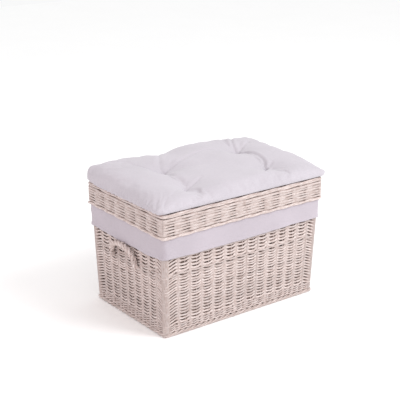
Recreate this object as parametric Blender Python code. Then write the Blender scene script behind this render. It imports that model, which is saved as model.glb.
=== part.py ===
"""Willow chest for laundry: a tapered woven box, a cotton liner turned out over its rim,
and a hinged woven lid that carries a tufted cushion.

Run in Blender 4.5: blender --background --python part.py
Metres, +Z up, +X along the chest's length, +Y to the hinged back. The origin is the middle
of the chest on the floor.
"""

import math

import bmesh
import bpy
from mathutils import Matrix, Vector, geometry

# ---- driving sizes --------------------------------------------------------------------
LENGTH = 0.600            # outside of the lid, along X
DEPTH = 0.400             # outside of the lid, along Y
RIM_HEIGHT = 0.310        # top of the basket's border
LID_HEIGHT = 0.068        # lid alone, from its lower border to its edge roll
LID_OVERHANG = 0.006      # how far the lid stands out past the rim, all round
TAPER = 0.0105            # how much narrower each side is at the foot than at the rim

WALL = 0.012              # thickness of the woven walls
GAP = 0.0003              # space kept between touching pieces
INNER_CORNER = 0.001      # inside radius of every upright corner

STAKE_RADIUS = 0.0028
STAKE_SIDES = 6
STAKE_PITCH = 0.041       # aimed distance between stakes
STAKE_END_INSET = 0.047   # first stake, from the corner
POST_RADIUS = 0.008

FOOT_BORDER = 0.012       # height of the border that the chest stands on
FOOT_WALE = 0.022         # height of the tight rows above it
LOWER_WEAVE = 0.153       # height of the close rows
MID_WALE = 0.009          # height of the band between close and open rows
RIM_BORDER = 0.012        # height of the border roll at the top

BASE_LIFT = 0.004         # underside of the base, above the floor
BASE_THICK = 0.012
BASE_STICKS = 5
BASE_STICK_RADIUS = 0.0038

CLOTH = 0.0012            # thickness of the liner
BAG_CORNER = 0.026        # the bag's corners pass inside the posts
BAG_TOP_DROP = 0.020      # seam between bag and cuff, below the rim
CUFF_DROP = 0.065         # how far the cuff hangs down outside
CUFF_LEG = 0.010          # how far the cuff turns down inside

LID_POST_RADIUS = 0.0055
LID_POST_SKIN = 0.0005    # the lid's posts stand this far off the wall's inner face
LID_TOP_THICK = 0.010
LID_EDGE = 0.012          # height of the roll round the top of the lid
LID_TOP_SINK = 0.002      # the woven top lies this far below that roll
LID_STICKS = 5
LID_STICK_RADIUS = 0.0030

HINGE_ROD_RADIUS = 0.0045
HINGE_LOOP_THICK = 0.0025
HINGE_LOOP_WIDTH = 0.014
HINGE_LOOP_PLAY = 0.0005
HINGE_SPACING = 0.380     # aimed distance between the two loops
HINGE_NOTCH_PLAY = 0.0010
LID_NOTCH_PLAY = 0.0030   # more room above the loops, for the lid to swing open

HANDLE_RADIUS = 0.0060
HANDLE_SPAN = 0.140       # between the feet's axes
HANDLE_RISE = 0.047
HANDLE_STAND = 0.013      # axis of the grip, out from the wall
HANDLE_BELOW_CUFF = 0.002 # from the cuff's hem to the top of the bow
HANDLE_STEPS = 18         # straight lengths along the bow

CUSHION_END_INSET = 0.0   # from the lid's ends
CUSHION_SIDE_INSET = 0.008
CUSHION_THICK = 0.058
CUSHION_CORNER = 0.030
TUFT_FROM_END = 0.148     # from the cushion's ends
TUFT_FROM_SIDE = 0.112
TUFT_RADIUS = 0.0012
TUFT_PLAY = 0.0004
TUFT_DEPTH = 0.030        # how far the tufts pull the top down

# ---- sizes that follow from them ---------------------------------------------------------
CORNER_RADIUS = WALL + INNER_CORNER
POST_INSET = CORNER_RADIUS                # a post's axis is the middle of its corner
LID_POST_INSET = WALL - LID_POST_SKIN
LID_BORDER_RADIUS = WALL / 2
LID_BOTTOM = RIM_HEIGHT + CLOTH + 2 * GAP
LID_TOP = LID_BOTTOM + LID_HEIGHT
HINGE_Y = DEPTH / 2 - HINGE_ROD_RADIUS - HINGE_LOOP_THICK - HINGE_LOOP_PLAY
HINGE_Z = LID_BOTTOM + HINGE_ROD_RADIUS
LID_SIDE_Z0 = LID_BOTTOM + 2 * LID_BORDER_RADIUS + GAP
LID_SIDE_Z1 = LID_TOP - LID_EDGE - GAP
WALE_Z0 = FOOT_BORDER + GAP
LOWER_Z0 = WALE_Z0 + FOOT_WALE + GAP
MID_Z0 = LOWER_Z0 + LOWER_WEAVE + GAP
UPPER_Z0 = MID_Z0 + MID_WALE + GAP
UPPER_Z1 = RIM_HEIGHT - RIM_BORDER - GAP
LINER_INSET = WALL + 2 * GAP
HANDLE_FOOT_Z = RIM_HEIGHT - CUFF_DROP - HANDLE_BELOW_CUFF - HANDLE_RADIUS - HANDLE_RISE
CUSHION_LENGTH = LENGTH - 2 * CUSHION_END_INSET
CUSHION_DEPTH = DEPTH - 2 * CUSHION_SIDE_INSET
TUFT_X = CUSHION_LENGTH / 2 - TUFT_FROM_END
TUFT_Y = CUSHION_DEPTH / 2 - TUFT_FROM_SIDE
POST_LEAN = math.sqrt(2) * POST_RADIUS * TAPER / RIM_HEIGHT   # a leaning post's end cap tips this much
SIDES = {
    "front": (Vector((1, 0, 0)), Vector((0, -1, 0))),
    "right": (Vector((0, 1, 0)), Vector((1, 0, 0))),
    "back": (Vector((-1, 0, 0)), Vector((0, 1, 0))),
    "left": (Vector((0, -1, 0)), Vector((-1, 0, 0))),
}
CORNERS = {"front_left": (-1, -1), "front_right": (1, -1), "back_right": (1, 1), "back_left": (-1, 1)}
ARC_STEPS = 4             # facets in a quarter turn of a corner


# ---- general helpers -----------------------------------------------------------------------
def basket_half(z):
    """Half length and half depth of the basket's outside at height z."""
    inset = LID_OVERHANG + TAPER * (1 - z / RIM_HEIGHT)
    return LENGTH / 2 - inset, DEPTH / 2 - inset


def lid_half(_z):
    """Half length and half depth of the lid's outside."""
    return LENGTH / 2, DEPTH / 2


def add_object(name, mesh_builder, material, parent=None):
    """Make a named object from a bmesh, keeping it in place under its parent."""
    mesh = bpy.data.meshes.new(name)
    bmesh.ops.recalc_face_normals(mesh_builder, faces=mesh_builder.faces)
    mesh_builder.to_mesh(mesh)
    mesh_builder.free()
    obj = bpy.data.objects.new(name, mesh)
    bpy.context.scene.collection.objects.link(obj)
    if material:
        mesh.materials.append(material)
    if parent:
        obj.parent = parent
        obj.matrix_parent_inverse = parent.matrix_world.inverted()
    return obj


def shade_round(obj, angle_deg=40):
    obj.data.shade_smooth()
    obj.data.set_sharp_from_angle(angle=math.radians(angle_deg))


def ring_faces(bm, low, high):
    """Quads between two loops with the same number of points."""
    count = len(low)
    for i in range(count):
        j = (i + 1) % count
        bm.faces.new((low[i], low[j], high[j], high[i]))


def add_loop(bm, points):
    return [bm.verts.new(point) for point in points]


def stacked_solid(loops):
    """A closed solid through a stack of loops, capped at both ends."""
    bm = bmesh.new()
    rings = [add_loop(bm, loop) for loop in loops]
    for low, high in zip(rings, rings[1:]):
        ring_faces(bm, low, high)
    bm.faces.new(list(reversed(rings[0])))
    bm.faces.new(rings[-1])
    return bm


def closed_ring(loops):
    """A closed ring: each loop goes round the opening, and the last joins the first."""
    bm = bmesh.new()
    rings = [add_loop(bm, loop) for loop in loops]
    for low, high in zip(rings, rings[1:] + rings[:1]):
        ring_faces(bm, low, high)
    return bm


def rounded_plan(half, inset, z, radius):
    """Points round a rectangle with round corners, half sizes taken at height z."""
    half_x, half_y = half(z)
    points = []
    for sign_x, sign_y, start in ((1, -1, -90), (1, 1, 0), (-1, 1, 90), (-1, -1, 180)):
        centre_x = sign_x * (half_x - inset - radius)
        centre_y = sign_y * (half_y - inset - radius)
        for step in range(ARC_STEPS + 1):
            angle = math.radians(start + 90 * step / ARC_STEPS)
            points.append((centre_x + radius * math.cos(angle), centre_y + radius * math.sin(angle), z))
    return points


def add_rod(bm, start, end, radius, sides):
    """A closed straight rod between two points."""
    start, end = Vector(start), Vector(end)
    turn = (end - start).to_track_quat("Z", "Y").to_matrix().to_4x4()
    place = Matrix.Translation((start + end) / 2) @ turn
    bmesh.ops.create_cone(bm, cap_ends=True, segments=sides, radius1=radius, radius2=radius,
                          depth=(end - start).length, matrix=place)


def add_box(bm, low, high):
    low, high = Vector(low), Vector(high)
    place = Matrix.Translation((low + high) / 2) @ Matrix.Diagonal((*(high - low), 1))
    bmesh.ops.create_cube(bm, size=1, matrix=place)


def cutter(name, bm):
    """A guide that shapes other pieces and isn't one itself."""
    obj = add_object(name, bm, None)
    obj.hide_render = True
    obj.display_type = "WIRE"
    return obj


def boolean(obj, tool, operation="DIFFERENCE"):
    change = obj.modifiers.new(operation.lower(), "BOOLEAN")
    change.operation = operation
    change.solver = "EXACT"
    change.object = tool


def straight_rod(name, start, end, radius, material, parent=None, sides=12):
    bm = bmesh.new()
    add_rod(bm, start, end, radius, sides)
    obj = add_object(name, bm, material, parent)
    shade_round(obj)
    return obj


def bent_rod(name, path, radius, material, parent):
    """A closed round rod that follows a path of points."""
    curve = bpy.data.curves.new(name, "CURVE")
    curve.dimensions = "3D"
    curve.bevel_depth = radius
    curve.bevel_resolution = 2
    curve.use_fill_caps = True
    spline = curve.splines.new("POLY")
    spline.points.add(len(path) - 1)
    for point, place in zip(spline.points, path):
        point.co = (*place, 1)
    curve.materials.append(material)
    obj = bpy.data.objects.new(name, curve)
    bpy.context.scene.collection.objects.link(obj)
    obj.parent = parent
    obj.matrix_parent_inverse = parent.matrix_world.inverted()
    return obj


# ---- materials -------------------------------------------------------------------------------
def make_material(name, colour, roughness, metallic=0.0):
    material = bpy.data.materials.new(name)
    material.use_nodes = True
    shader = material.node_tree.nodes["Principled BSDF"]
    shader.inputs["Base Color"].default_value = (*colour, 1)
    shader.inputs["Roughness"].default_value = roughness
    shader.inputs["Metallic"].default_value = metallic
    return material


def make_materials():
    return {
        "willow": make_material("whitewashed_willow", (0.66, 0.57, 0.53), 0.62),
        "stake": make_material("whitewashed_stake", (0.60, 0.51, 0.47), 0.60),
        "border": make_material("whitewashed_border", (0.70, 0.61, 0.57), 0.58),
        "skein": make_material("willow_skein", (0.58, 0.48, 0.42), 0.55),
        "liner": make_material("liner_cotton", (0.64, 0.60, 0.65), 0.90),
        "cushion": make_material("cushion_cotton", (0.72, 0.69, 0.74), 0.92),
        "thread": make_material("tuft_thread", (0.66, 0.64, 0.68), 0.85),
    }


# ---- woven walls -------------------------------------------------------------------------------
def side_place(side, along, out, z):
    """World place of a point given along a side and outwards from the middle."""
    u, v = SIDES[side]
    return u * along + v * out + Vector((0, 0, z))


def side_halves(side, half, z):
    """Half length of a side and its outer face's distance from the middle."""
    half_x, half_y = half(z)
    return (half_x, half_y) if side in ("front", "back") else (half_y, half_x)


def side_plan(side, half, z):
    """Plan of one wall between its two mitred ends, as points at height z."""
    along, out = side_halves(side, half, z)
    centre_a, centre_o = along - CORNER_RADIUS, out - CORNER_RADIUS
    shift = GAP / 2 / math.sqrt(2)
    outline = []
    for step in range(ARC_STEPS // 2 + 1):
        angle = math.radians(90 - 45 * step / (ARC_STEPS // 2))
        outline.append((centre_a + CORNER_RADIUS * math.cos(angle), centre_o + CORNER_RADIUS * math.sin(angle)))
    outline[-1] = (outline[-1][0] - shift, outline[-1][1] + shift)
    outline.append((along - WALL - shift, out - WALL + shift))
    right = list(outline)
    left = [(-a, o) for a, o in reversed(outline)]
    return [side_place(side, a, o, z) for a, o in right + left]


def wall_piece(name, side, half, z0, z1, material, parent, tool):
    """One woven wall from z0 to z1, cut for the stakes and posts that run through it."""
    bm = stacked_solid([side_plan(side, half, z0), side_plan(side, half, z1)])
    obj = add_object(name, bm, material, parent)
    if tool:
        boolean(obj, tool)
    return obj


def ring_piece(name, half, z0, z1, material, parent, tool, inset=0.0, chamfer=0.0):
    """One rod ring right round a box, from z0 to z1 and as thick as the wall."""
    section = [(inset + chamfer, z0), (WALL - chamfer, z0), (WALL, z0 + chamfer), (WALL, z1 - chamfer),
               (WALL - chamfer, z1), (inset + chamfer, z1), (inset, z1 - chamfer), (inset, z0 + chamfer)]
    if not chamfer:
        section = [(inset, z0), (WALL, z0), (WALL, z1), (inset, z1)]
    inner = CORNER_RADIUS - WALL
    loops = [rounded_plan(half, d, z, CORNER_RADIUS - d if d < WALL - chamfer else inner + chamfer)
             for d, z in section]
    obj = add_object(name, closed_ring(loops), material, parent)
    if tool:
        boolean(obj, tool)
    return obj


def stake_places(side, z):
    """Distances along a side of its stakes at height z."""
    along, _out = side_halves(side, basket_half, RIM_HEIGHT)
    count = max(2, round(2 * (along - STAKE_END_INSET) / STAKE_PITCH) + 1)
    reach = side_halves(side, basket_half, z)[0] - STAKE_END_INSET
    return [reach * (2 * i / (count - 1) - 1) for i in range(count)]


def add_stakes(bm, side, z0, z1, radius):
    out0 = side_halves(side, basket_half, z0)[1] - WALL / 2
    out1 = side_halves(side, basket_half, z1)[1] - WALL / 2
    for low, high in zip(stake_places(side, z0), stake_places(side, z1)):
        add_rod(bm, side_place(side, low, out0, z0), side_place(side, high, out1, z1), radius,
                STAKE_SIDES)


def post_place(corner, half, inset, z):
    sign_x, sign_y = CORNERS[corner]
    half_x, half_y = half(z)
    return Vector((sign_x * (half_x - inset), sign_y * (half_y - inset), z))


def channel_cutter():
    """The holes that the stakes and corner posts need in the basket's walls."""
    bm = bmesh.new()
    for side in SIDES:
        add_stakes(bm, side, 0.0, RIM_HEIGHT, STAKE_RADIUS + GAP)
    for corner in CORNERS:
        add_rod(bm, post_place(corner, basket_half, POST_INSET, 0.0),
                post_place(corner, basket_half, POST_INSET, RIM_HEIGHT), POST_RADIUS + GAP, 16)
    return cutter("channels", bm)


def build_walls(mats, parent):
    channels = channel_cutter()
    notches = hinge_notch_cutter("rim_notches", UPPER_Z1 - HINGE_LOOP_THICK - 2 * HINGE_NOTCH_PLAY, RIM_HEIGHT)
    for side in SIDES:
        wall_piece(f"lower_weave_{side}", side, basket_half, LOWER_Z0, MID_Z0 - GAP, mats["willow"],
                   parent, channels)
        upper = wall_piece(f"upper_weave_{side}", side, basket_half, UPPER_Z0, UPPER_Z1, mats["willow"],
                           parent, channels)
        if side == "back":
            boolean(upper, notches)
        stakes = bmesh.new()
        add_stakes(stakes, side, WALE_Z0, RIM_HEIGHT - RIM_BORDER / 2, STAKE_RADIUS)
        comb = wall_piece(f"stakes_and_border_{side}", side, basket_half, UPPER_Z1 + GAP, RIM_HEIGHT,
                          mats["border"], parent, None)
        boolean(comb, cutter(f"stakes_{side}", stakes), "UNION")
    ring_piece("foot_border", basket_half, 0.0, FOOT_BORDER, mats["border"], parent, None, chamfer=0.002)
    ring_piece("foot_wale", basket_half, WALE_Z0, LOWER_Z0 - GAP, mats["willow"], parent, channels)
    ring_piece("mid_wale", basket_half, MID_Z0, UPPER_Z0 - GAP, mats["willow"], parent, channels)
    for corner in CORNERS:
        straight_rod(f"corner_post_{corner}", post_place(corner, basket_half, POST_INSET, WALE_Z0 + POST_LEAN),
                     post_place(corner, basket_half, POST_INSET, UPPER_Z1 - POST_LEAN), POST_RADIUS,
                     mats["stake"], parent, sides=16)


# ---- base ------------------------------------------------------------------------------------
def stick_rows(half, margin, count):
    """Places across the depth for lengthwise sticks."""
    reach = half - margin
    return [reach * (2 * i / (count - 1) - 1) for i in range(count)]


def build_stick_panel(name, stick_name, z0, thick, half, corner, sticks, stick_radius, mats, parent):
    """A flat woven panel with lengthwise sticks inside its thickness."""
    panel = add_object(name, stacked_solid([rounded_plan(half, WALL + GAP, z, corner)
                                            for z in (z0, z0 + thick)]), mats["willow"], parent)
    half_x, half_y = half(z0)
    rows = stick_rows(half_y - WALL, 2 * corner, sticks)
    z_mid = z0 + thick / 2
    holes = bmesh.new()
    for y in rows:
        add_rod(holes, (-half_x, y, z_mid), (half_x, y, z_mid), stick_radius + GAP, 8)
    boolean(panel, cutter(f"{name}_holes", holes))
    reach = half_x - WALL - 2 * GAP
    for number, y in enumerate(rows, 1):
        straight_rod(f"{stick_name}_{number}", (-reach, y, z_mid), (reach, y, z_mid), stick_radius,
                     mats["stake"], parent, sides=8)


def foot_half(_z):
    """The base is cut square, to the walls' width at the foot."""
    return basket_half(0.0)


# ---- liner -----------------------------------------------------------------------------------
def build_liner(mats, parent):
    floor = BASE_LIFT + BASE_THICK + GAP
    top = RIM_HEIGHT - BAG_TOP_DROP
    outer, inner = LINER_INSET, LINER_INSET + CLOTH
    walls = [(outer, floor, BAG_CORNER), (outer, top, BAG_CORNER),
             (inner, top, BAG_CORNER - CLOTH), (inner, floor + CLOTH, BAG_CORNER - CLOTH)]
    bag = stacked_solid([rounded_plan(basket_half, d, z, r) for d, z, r in walls])
    add_object("liner_bag", bag, mats["liner"], parent)

    over = RIM_HEIGHT + GAP
    leg, hem = RIM_HEIGHT - CUFF_LEG, RIM_HEIGHT - CUFF_DROP
    section = [(LINER_INSET, leg), (LINER_INSET, over), (-GAP, over), (-GAP, hem),
               (-GAP - CLOTH, hem), (-GAP - CLOTH, over + CLOTH),
               (LINER_INSET + CLOTH, over + CLOTH), (LINER_INSET + CLOTH, leg)]
    loops = [rounded_plan(basket_half, d, z, max(CORNER_RADIUS - d, CORNER_RADIUS - WALL))
             for d, z in section]
    cuff = add_object("liner_cuff", closed_ring(loops), mats["liner"], parent)
    boolean(cuff, hinge_notch_cutter("cuff_slits", leg - CUFF_LEG, LID_BOTTOM))


# ---- hinges -----------------------------------------------------------------------------------
def hinge_places():
    """The loops pass midway between two stakes, in the gaps nearest the aimed spacing."""
    stakes = stake_places("back", RIM_HEIGHT)
    gaps = [(low + high) / 2 for low, high in zip(stakes, stakes[1:])]
    right = min(gaps, key=lambda x: abs(x - HINGE_SPACING / 2))
    return (-right, right)


def hinge_notch_cutter(name, z0, z1):
    """Boxes that clear the two hinge loops through whatever lies along the back."""
    bm = bmesh.new()
    half_width = HINGE_LOOP_WIDTH / 2 + HINGE_NOTCH_PLAY
    for x in hinge_places():
        add_box(bm, (x - half_width, DEPTH / 2 - 3 * WALL, z0), (x + half_width, DEPTH / 2 + WALL, z1))
    return cutter(name, bm)


def belt_plan(x, circles, grow):
    """The tight outline round some circles in a plane across X, each grown by the same amount."""
    points = []
    for y, z, radius in circles:
        for step in range(16):
            angle = 2 * math.pi * step / 16
            points.append(Vector((y + (radius + grow) * math.cos(angle), z + (radius + grow) * math.sin(angle))))
    return [(x, points[i].x, points[i].y) for i in geometry.convex_hull_2d(points)]


def build_hinge_loops(mats, parent):
    """Each loop ties the lid's hinge rod to the basket's border."""
    outer_y = basket_half(RIM_HEIGHT)[1]
    inner_y = outer_y - WALL
    low = RIM_HEIGHT - RIM_BORDER
    circles = [(HINGE_Y, HINGE_Z, HINGE_ROD_RADIUS), (outer_y, low, 0.0), (inner_y, low, 0.0),
               (inner_y, RIM_HEIGHT, 0.0)]
    for label, x in zip(("left", "right"), hinge_places()):
        x0, x1 = x - HINGE_LOOP_WIDTH / 2, x + HINGE_LOOP_WIDTH / 2
        grow = HINGE_LOOP_PLAY + HINGE_LOOP_THICK
        loop = add_object(f"hinge_loop_{label}",
                          stacked_solid([belt_plan(x0, circles, grow), belt_plan(x1, circles, grow)]),
                          mats["skein"], parent)
        hole = stacked_solid([belt_plan(x0 - WALL, circles, HINGE_LOOP_PLAY),
                              belt_plan(x1 + WALL, circles, HINGE_LOOP_PLAY)])
        boolean(loop, cutter(f"hinge_loop_hole_{label}", hole))


# ---- handles ----------------------------------------------------------------------------------
def build_handles(mats, parent):
    """A twisted bow on each end wall, its feet lying against the weave."""
    foot_stand = HANDLE_RADIUS + 2 * GAP
    for side in ("left", "right"):
        path = []
        for step in range(HANDLE_STEPS + 1):
            turn = math.pi * step / HANDLE_STEPS
            lift = math.sin(turn)
            z = HANDLE_FOOT_Z + HANDLE_RISE * lift
            stand = foot_stand + (HANDLE_STAND - foot_stand) * lift
            out = side_halves(side, basket_half, z)[1] + stand
            path.append(side_place(side, HANDLE_SPAN / 2 * math.cos(turn), out, z))
        bent_rod(f"handle_{side}", path, HANDLE_RADIUS, mats["border"], parent)


# ---- lid ---------------------------------------------------------------------------------------
def lid_post_cutter():
    bm = bmesh.new()
    for corner in CORNERS:
        add_rod(bm, post_place(corner, lid_half, LID_POST_INSET, LID_BOTTOM),
                post_place(corner, lid_half, LID_POST_INSET, LID_TOP), LID_POST_RADIUS + GAP, 12)
    return cutter("lid_post_holes", bm)


def build_lid_border(mats, parent):
    """The lower border goes round three sides; the hinge rod is the fourth."""
    inset = LID_BORDER_RADIUS
    half_x, half_y = LENGTH / 2 - inset, DEPTH / 2 - inset
    z = LID_BOTTOM + LID_BORDER_RADIUS
    radius = CORNER_RADIUS
    path = [Vector((-half_x, HINGE_Y, z))]
    for sign, start in ((-1, 180), (1, 270)):
        for step in range(ARC_STEPS + 1):
            angle = math.radians(start + 90 * step / ARC_STEPS)
            path.append(Vector((sign * (half_x - radius) + radius * math.cos(angle),
                                -(half_y - radius) + radius * math.sin(angle), z)))
    path.append(Vector((half_x, HINGE_Y, z)))
    bent_rod("lid_border", path, LID_BORDER_RADIUS, mats["border"], parent)
    reach = half_x - LID_BORDER_RADIUS - GAP
    straight_rod("lid_hinge_rod", (-reach, HINGE_Y, HINGE_Z), (reach, HINGE_Y, HINGE_Z),
                 HINGE_ROD_RADIUS, mats["border"], parent, sides=16)


def build_lid(mats, parent):
    posts = lid_post_cutter()
    notch_top = HINGE_Z + HINGE_ROD_RADIUS + HINGE_LOOP_PLAY + HINGE_LOOP_THICK + LID_NOTCH_PLAY
    notches = hinge_notch_cutter("lid_notches", LID_BOTTOM, notch_top)
    for side in SIDES:
        wall = wall_piece(f"lid_weave_{side}", side, lid_half, LID_SIDE_Z0, LID_SIDE_Z1, mats["willow"],
                          parent, posts)
        if side == "back":
            boolean(wall, notches)
    for corner in CORNERS:
        straight_rod(f"lid_post_{corner}", post_place(corner, lid_half, LID_POST_INSET, LID_SIDE_Z0),
                     post_place(corner, lid_half, LID_POST_INSET, LID_SIDE_Z1), LID_POST_RADIUS,
                     mats["stake"], parent)
    ring_piece("lid_edge", lid_half, LID_TOP - LID_EDGE, LID_TOP, mats["border"], parent, None, chamfer=0.003)
    build_stick_panel("lid_top_weave", "lid_stick", LID_TOP - LID_TOP_SINK - LID_TOP_THICK, LID_TOP_THICK,
                      lid_half, CORNER_RADIUS, LID_STICKS, LID_STICK_RADIUS, mats, parent)
    build_lid_border(mats, parent)


# ---- cushion -------------------------------------------------------------------------------------
def cushion_half(_z):
    return CUSHION_LENGTH / 2, CUSHION_DEPTH / 2


def build_cushion(mats, parent):
    base = LID_TOP + GAP
    profile = ((0.016, 0.0), (0.003, 0.3), (0.0, 0.5), (0.006, 0.75), (0.024, 0.92), (0.060, 1.0))
    loops = [rounded_plan(cushion_half, inset, base + CUSHION_THICK * share, CUSHION_CORNER)
             for inset, share in profile]
    cushion = add_object("cushion", stacked_solid(loops), mats["cushion"], parent)
    shade_round(cushion)
    holes = bmesh.new()
    top = base + CUSHION_THICK
    dimple_floor = top - TUFT_DEPTH
    places = [(sx * TUFT_X, sy * TUFT_Y) for sy in (-1, 1) for sx in (-1, 1)]
    dimples = bmesh.new()
    for x, y in places:
        add_rod(holes, (x, y, base - WALL), (x, y, top + WALL), TUFT_RADIUS + TUFT_PLAY, 8)
        depth = 2 * TUFT_DEPTH
        bmesh.ops.create_cone(dimples, cap_ends=True, segments=16, radius1=2 * TUFT_RADIUS + TUFT_PLAY,
                              radius2=2 * TUFT_DEPTH, depth=depth,
                              matrix=Matrix.Translation((x, y, dimple_floor + depth / 2)))
    boolean(cushion, cutter("tuft_dimples", dimples))
    boolean(cushion, cutter("tuft_holes", holes))
    for number, (x, y) in enumerate(places, 1):
        straight_rod(f"tuft_tie_{number}", (x, y, base + GAP), (x, y, dimple_floor + GAP), TUFT_RADIUS,
                     mats["thread"], parent, sides=8)


# ---- whole object --------------------------------------------------------------------------------
def main():
    for obj in list(bpy.data.objects):
        bpy.data.objects.remove(obj, do_unlink=True)
    mats = make_materials()
    basket = bpy.data.objects.new("basket_frame", None)
    lid = bpy.data.objects.new("lid_hinge_axis", None)
    lid.location = (0, HINGE_Y, HINGE_Z)
    for empty in (basket, lid):
        bpy.context.scene.collection.objects.link(empty)
    bpy.context.view_layer.update()

    build_walls(mats, basket)
    build_stick_panel("base_weave", "base_stick", BASE_LIFT, BASE_THICK, foot_half, BAG_CORNER,
                      BASE_STICKS, BASE_STICK_RADIUS, mats, basket)
    build_liner(mats, basket)
    build_hinge_loops(mats, basket)
    build_handles(mats, basket)
    build_lid(mats, lid)
    build_cushion(mats, lid)


main()
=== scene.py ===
"""Willow laundry chest: the looks of its rods, cloth and cushion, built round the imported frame.

It is laid out as an add-on and run as a script. Metres, +Z up, +X along the chest, +Y to the hinge.
"""
import math

import bpy
import numpy as np
from bpy.props import FloatProperty, FloatVectorProperty, IntProperty, PointerProperty
from bpy.types import Operator, Panel, PropertyGroup
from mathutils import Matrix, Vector, geometry


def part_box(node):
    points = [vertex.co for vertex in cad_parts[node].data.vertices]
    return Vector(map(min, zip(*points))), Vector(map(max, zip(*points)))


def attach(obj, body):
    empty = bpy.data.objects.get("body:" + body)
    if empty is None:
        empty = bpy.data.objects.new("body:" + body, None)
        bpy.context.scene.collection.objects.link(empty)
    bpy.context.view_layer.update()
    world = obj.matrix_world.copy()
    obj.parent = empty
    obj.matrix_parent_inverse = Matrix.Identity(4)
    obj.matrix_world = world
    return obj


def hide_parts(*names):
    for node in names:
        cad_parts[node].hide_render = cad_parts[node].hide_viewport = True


bl_info = {
    "name": "Willow laundry chest",
    "version": (1, 0, 0),
    "blender": (4, 5, 0),
    "location": "3D View > Sidebar > Chest",
    "description": "Weaves, lines and upholsters a willow laundry chest round its frame",
    "category": "Object",
}

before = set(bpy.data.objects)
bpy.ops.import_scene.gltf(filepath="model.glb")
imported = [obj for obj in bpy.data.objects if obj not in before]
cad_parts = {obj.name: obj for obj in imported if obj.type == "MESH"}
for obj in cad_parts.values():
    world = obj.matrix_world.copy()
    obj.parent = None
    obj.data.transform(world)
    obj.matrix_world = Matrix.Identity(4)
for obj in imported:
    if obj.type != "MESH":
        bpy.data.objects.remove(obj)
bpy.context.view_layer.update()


# ---- places read from the frame --------------------------------------------------------------
GAP = 0.0003              # space that the frame keeps between touching pieces
CLOTH = 0.0012            # thickness of the lining
WALL = 0.012              # thickness of the woven walls
CORNER = 0.013            # outside radius of the upright corners
TURN_STEPS = 3            # samples in an eighth turn of a corner
STEP = 0.0034             # distance between samples along a rod
CUFF_STEP = 0.004         # distance between samples round the cuff
BAG_STEP = 0.010          # distance between samples round the bag
SIDES = {
    "front": ((1, 0), (0, -1)),
    "right": ((0, 1), (1, 0)),
    "back": ((-1, 0), (0, 1)),
    "left": ((0, -1), (-1, 0)),
}
CORNERS = {"front_left": (-1, -1), "front_right": (1, -1), "back_right": (1, 1), "back_left": (-1, 1)}

FOOT_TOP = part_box("foot_border")[1]
RIM_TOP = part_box("stakes_and_border_front")[1].z
CUFF_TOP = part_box("liner_cuff")[1]
CUFF_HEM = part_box("liner_cuff")[0].z
LID_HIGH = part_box("lid_edge")[1]
HINGE_LOW, HINGE_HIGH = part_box("lid_hinge_rod")
HINGE = (HINGE_LOW + HINGE_HIGH) / 2
BAG_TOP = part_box("liner_bag")[1].z
LOOP_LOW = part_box("hinge_loop_left")[0].z
LOOPS_X = [sum(corner.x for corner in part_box(f"hinge_loop_{end}")) / 2 for end in ("left", "right")]


def zone(node):
    """Lowest and highest z of a frame node."""
    low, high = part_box(node)
    return low.z, high.z


def basket_half(z):
    """Half length and half depth of the basket's outside at height z."""
    share = (z - FOOT_TOP.z) / (RIM_TOP - FOOT_TOP.z)
    rim = (CUFF_TOP.x - CLOTH - GAP, CUFF_TOP.y - CLOTH - GAP)
    return tuple(foot + (top - foot) * share for foot, top in zip((FOOT_TOP.x, FOOT_TOP.y), rim))


def lid_half(z):
    """Half length and half depth of the lid's outside, the same at every height."""
    return LID_HIGH.x + 0 * z, LID_HIGH.y + 0 * z


# ---- colour and nodes --------------------------------------------------------------------------
def paint(text):
    """An sRGB hex colour as linear RGBA."""
    channels = [int(text[i:i + 2], 16) / 255 for i in (0, 2, 4)]
    return tuple(c / 12.92 if c <= 0.04045 else ((c + 0.055) / 1.055) ** 2.4 for c in channels) + (1.0,)


def colour_prop(name, description, text):
    """A colour setting whose default is an sRGB hex colour."""
    return FloatVectorProperty(name=name, description=description, default=paint(text), size=4,
                               subtype="COLOR", min=0, max=1)


def length_prop(name, description, metres, largest=1.0):
    """A length setting in metres."""
    return FloatProperty(name=name, description=description, default=metres, min=0, max=largest,
                         unit="LENGTH", precision=5)


class FinishSettings(PropertyGroup):
    # the peeled wood colour is also the painted shade on the rods' sides and backs, in the folds between rods
    peeled: colour_prop("Peeled willow", "Wood that shows where the wash is thin", "a48d84")
    wash: colour_prop("Whitewash", "Limewash on the rods' outer sides", "d8ccc9")
    # the stick wash is darker than the rods' wash as painted shade, since the flat uprights catch more light
    stick: colour_prop("Stick wash", "Wash on uprights and sticks", "c4b8b5")
    skein: colour_prop("Split skein", "Split willow that ties and lashes", "cdb8a4")
    lining: colour_prop("Lining cotton", "Turned-out cuff and bag", "b7afb7")
    # the backing colour is painted shade: the bag's outer side is dark so that the slots between the rods read
    # as shade
    backing: colour_prop("Backing cotton", "Unbleached outer side of the bag", "b09a90")
    ticking: colour_prop("Cushion cotton", "Cushion cover", "bcb7be")
    thread: colour_prop("Tuft thread", "Threads that hold the tufts down", "c9c2cd")
    floor: colour_prop("Floor", "Matt paper floor and backdrop", "ffffff")


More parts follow.
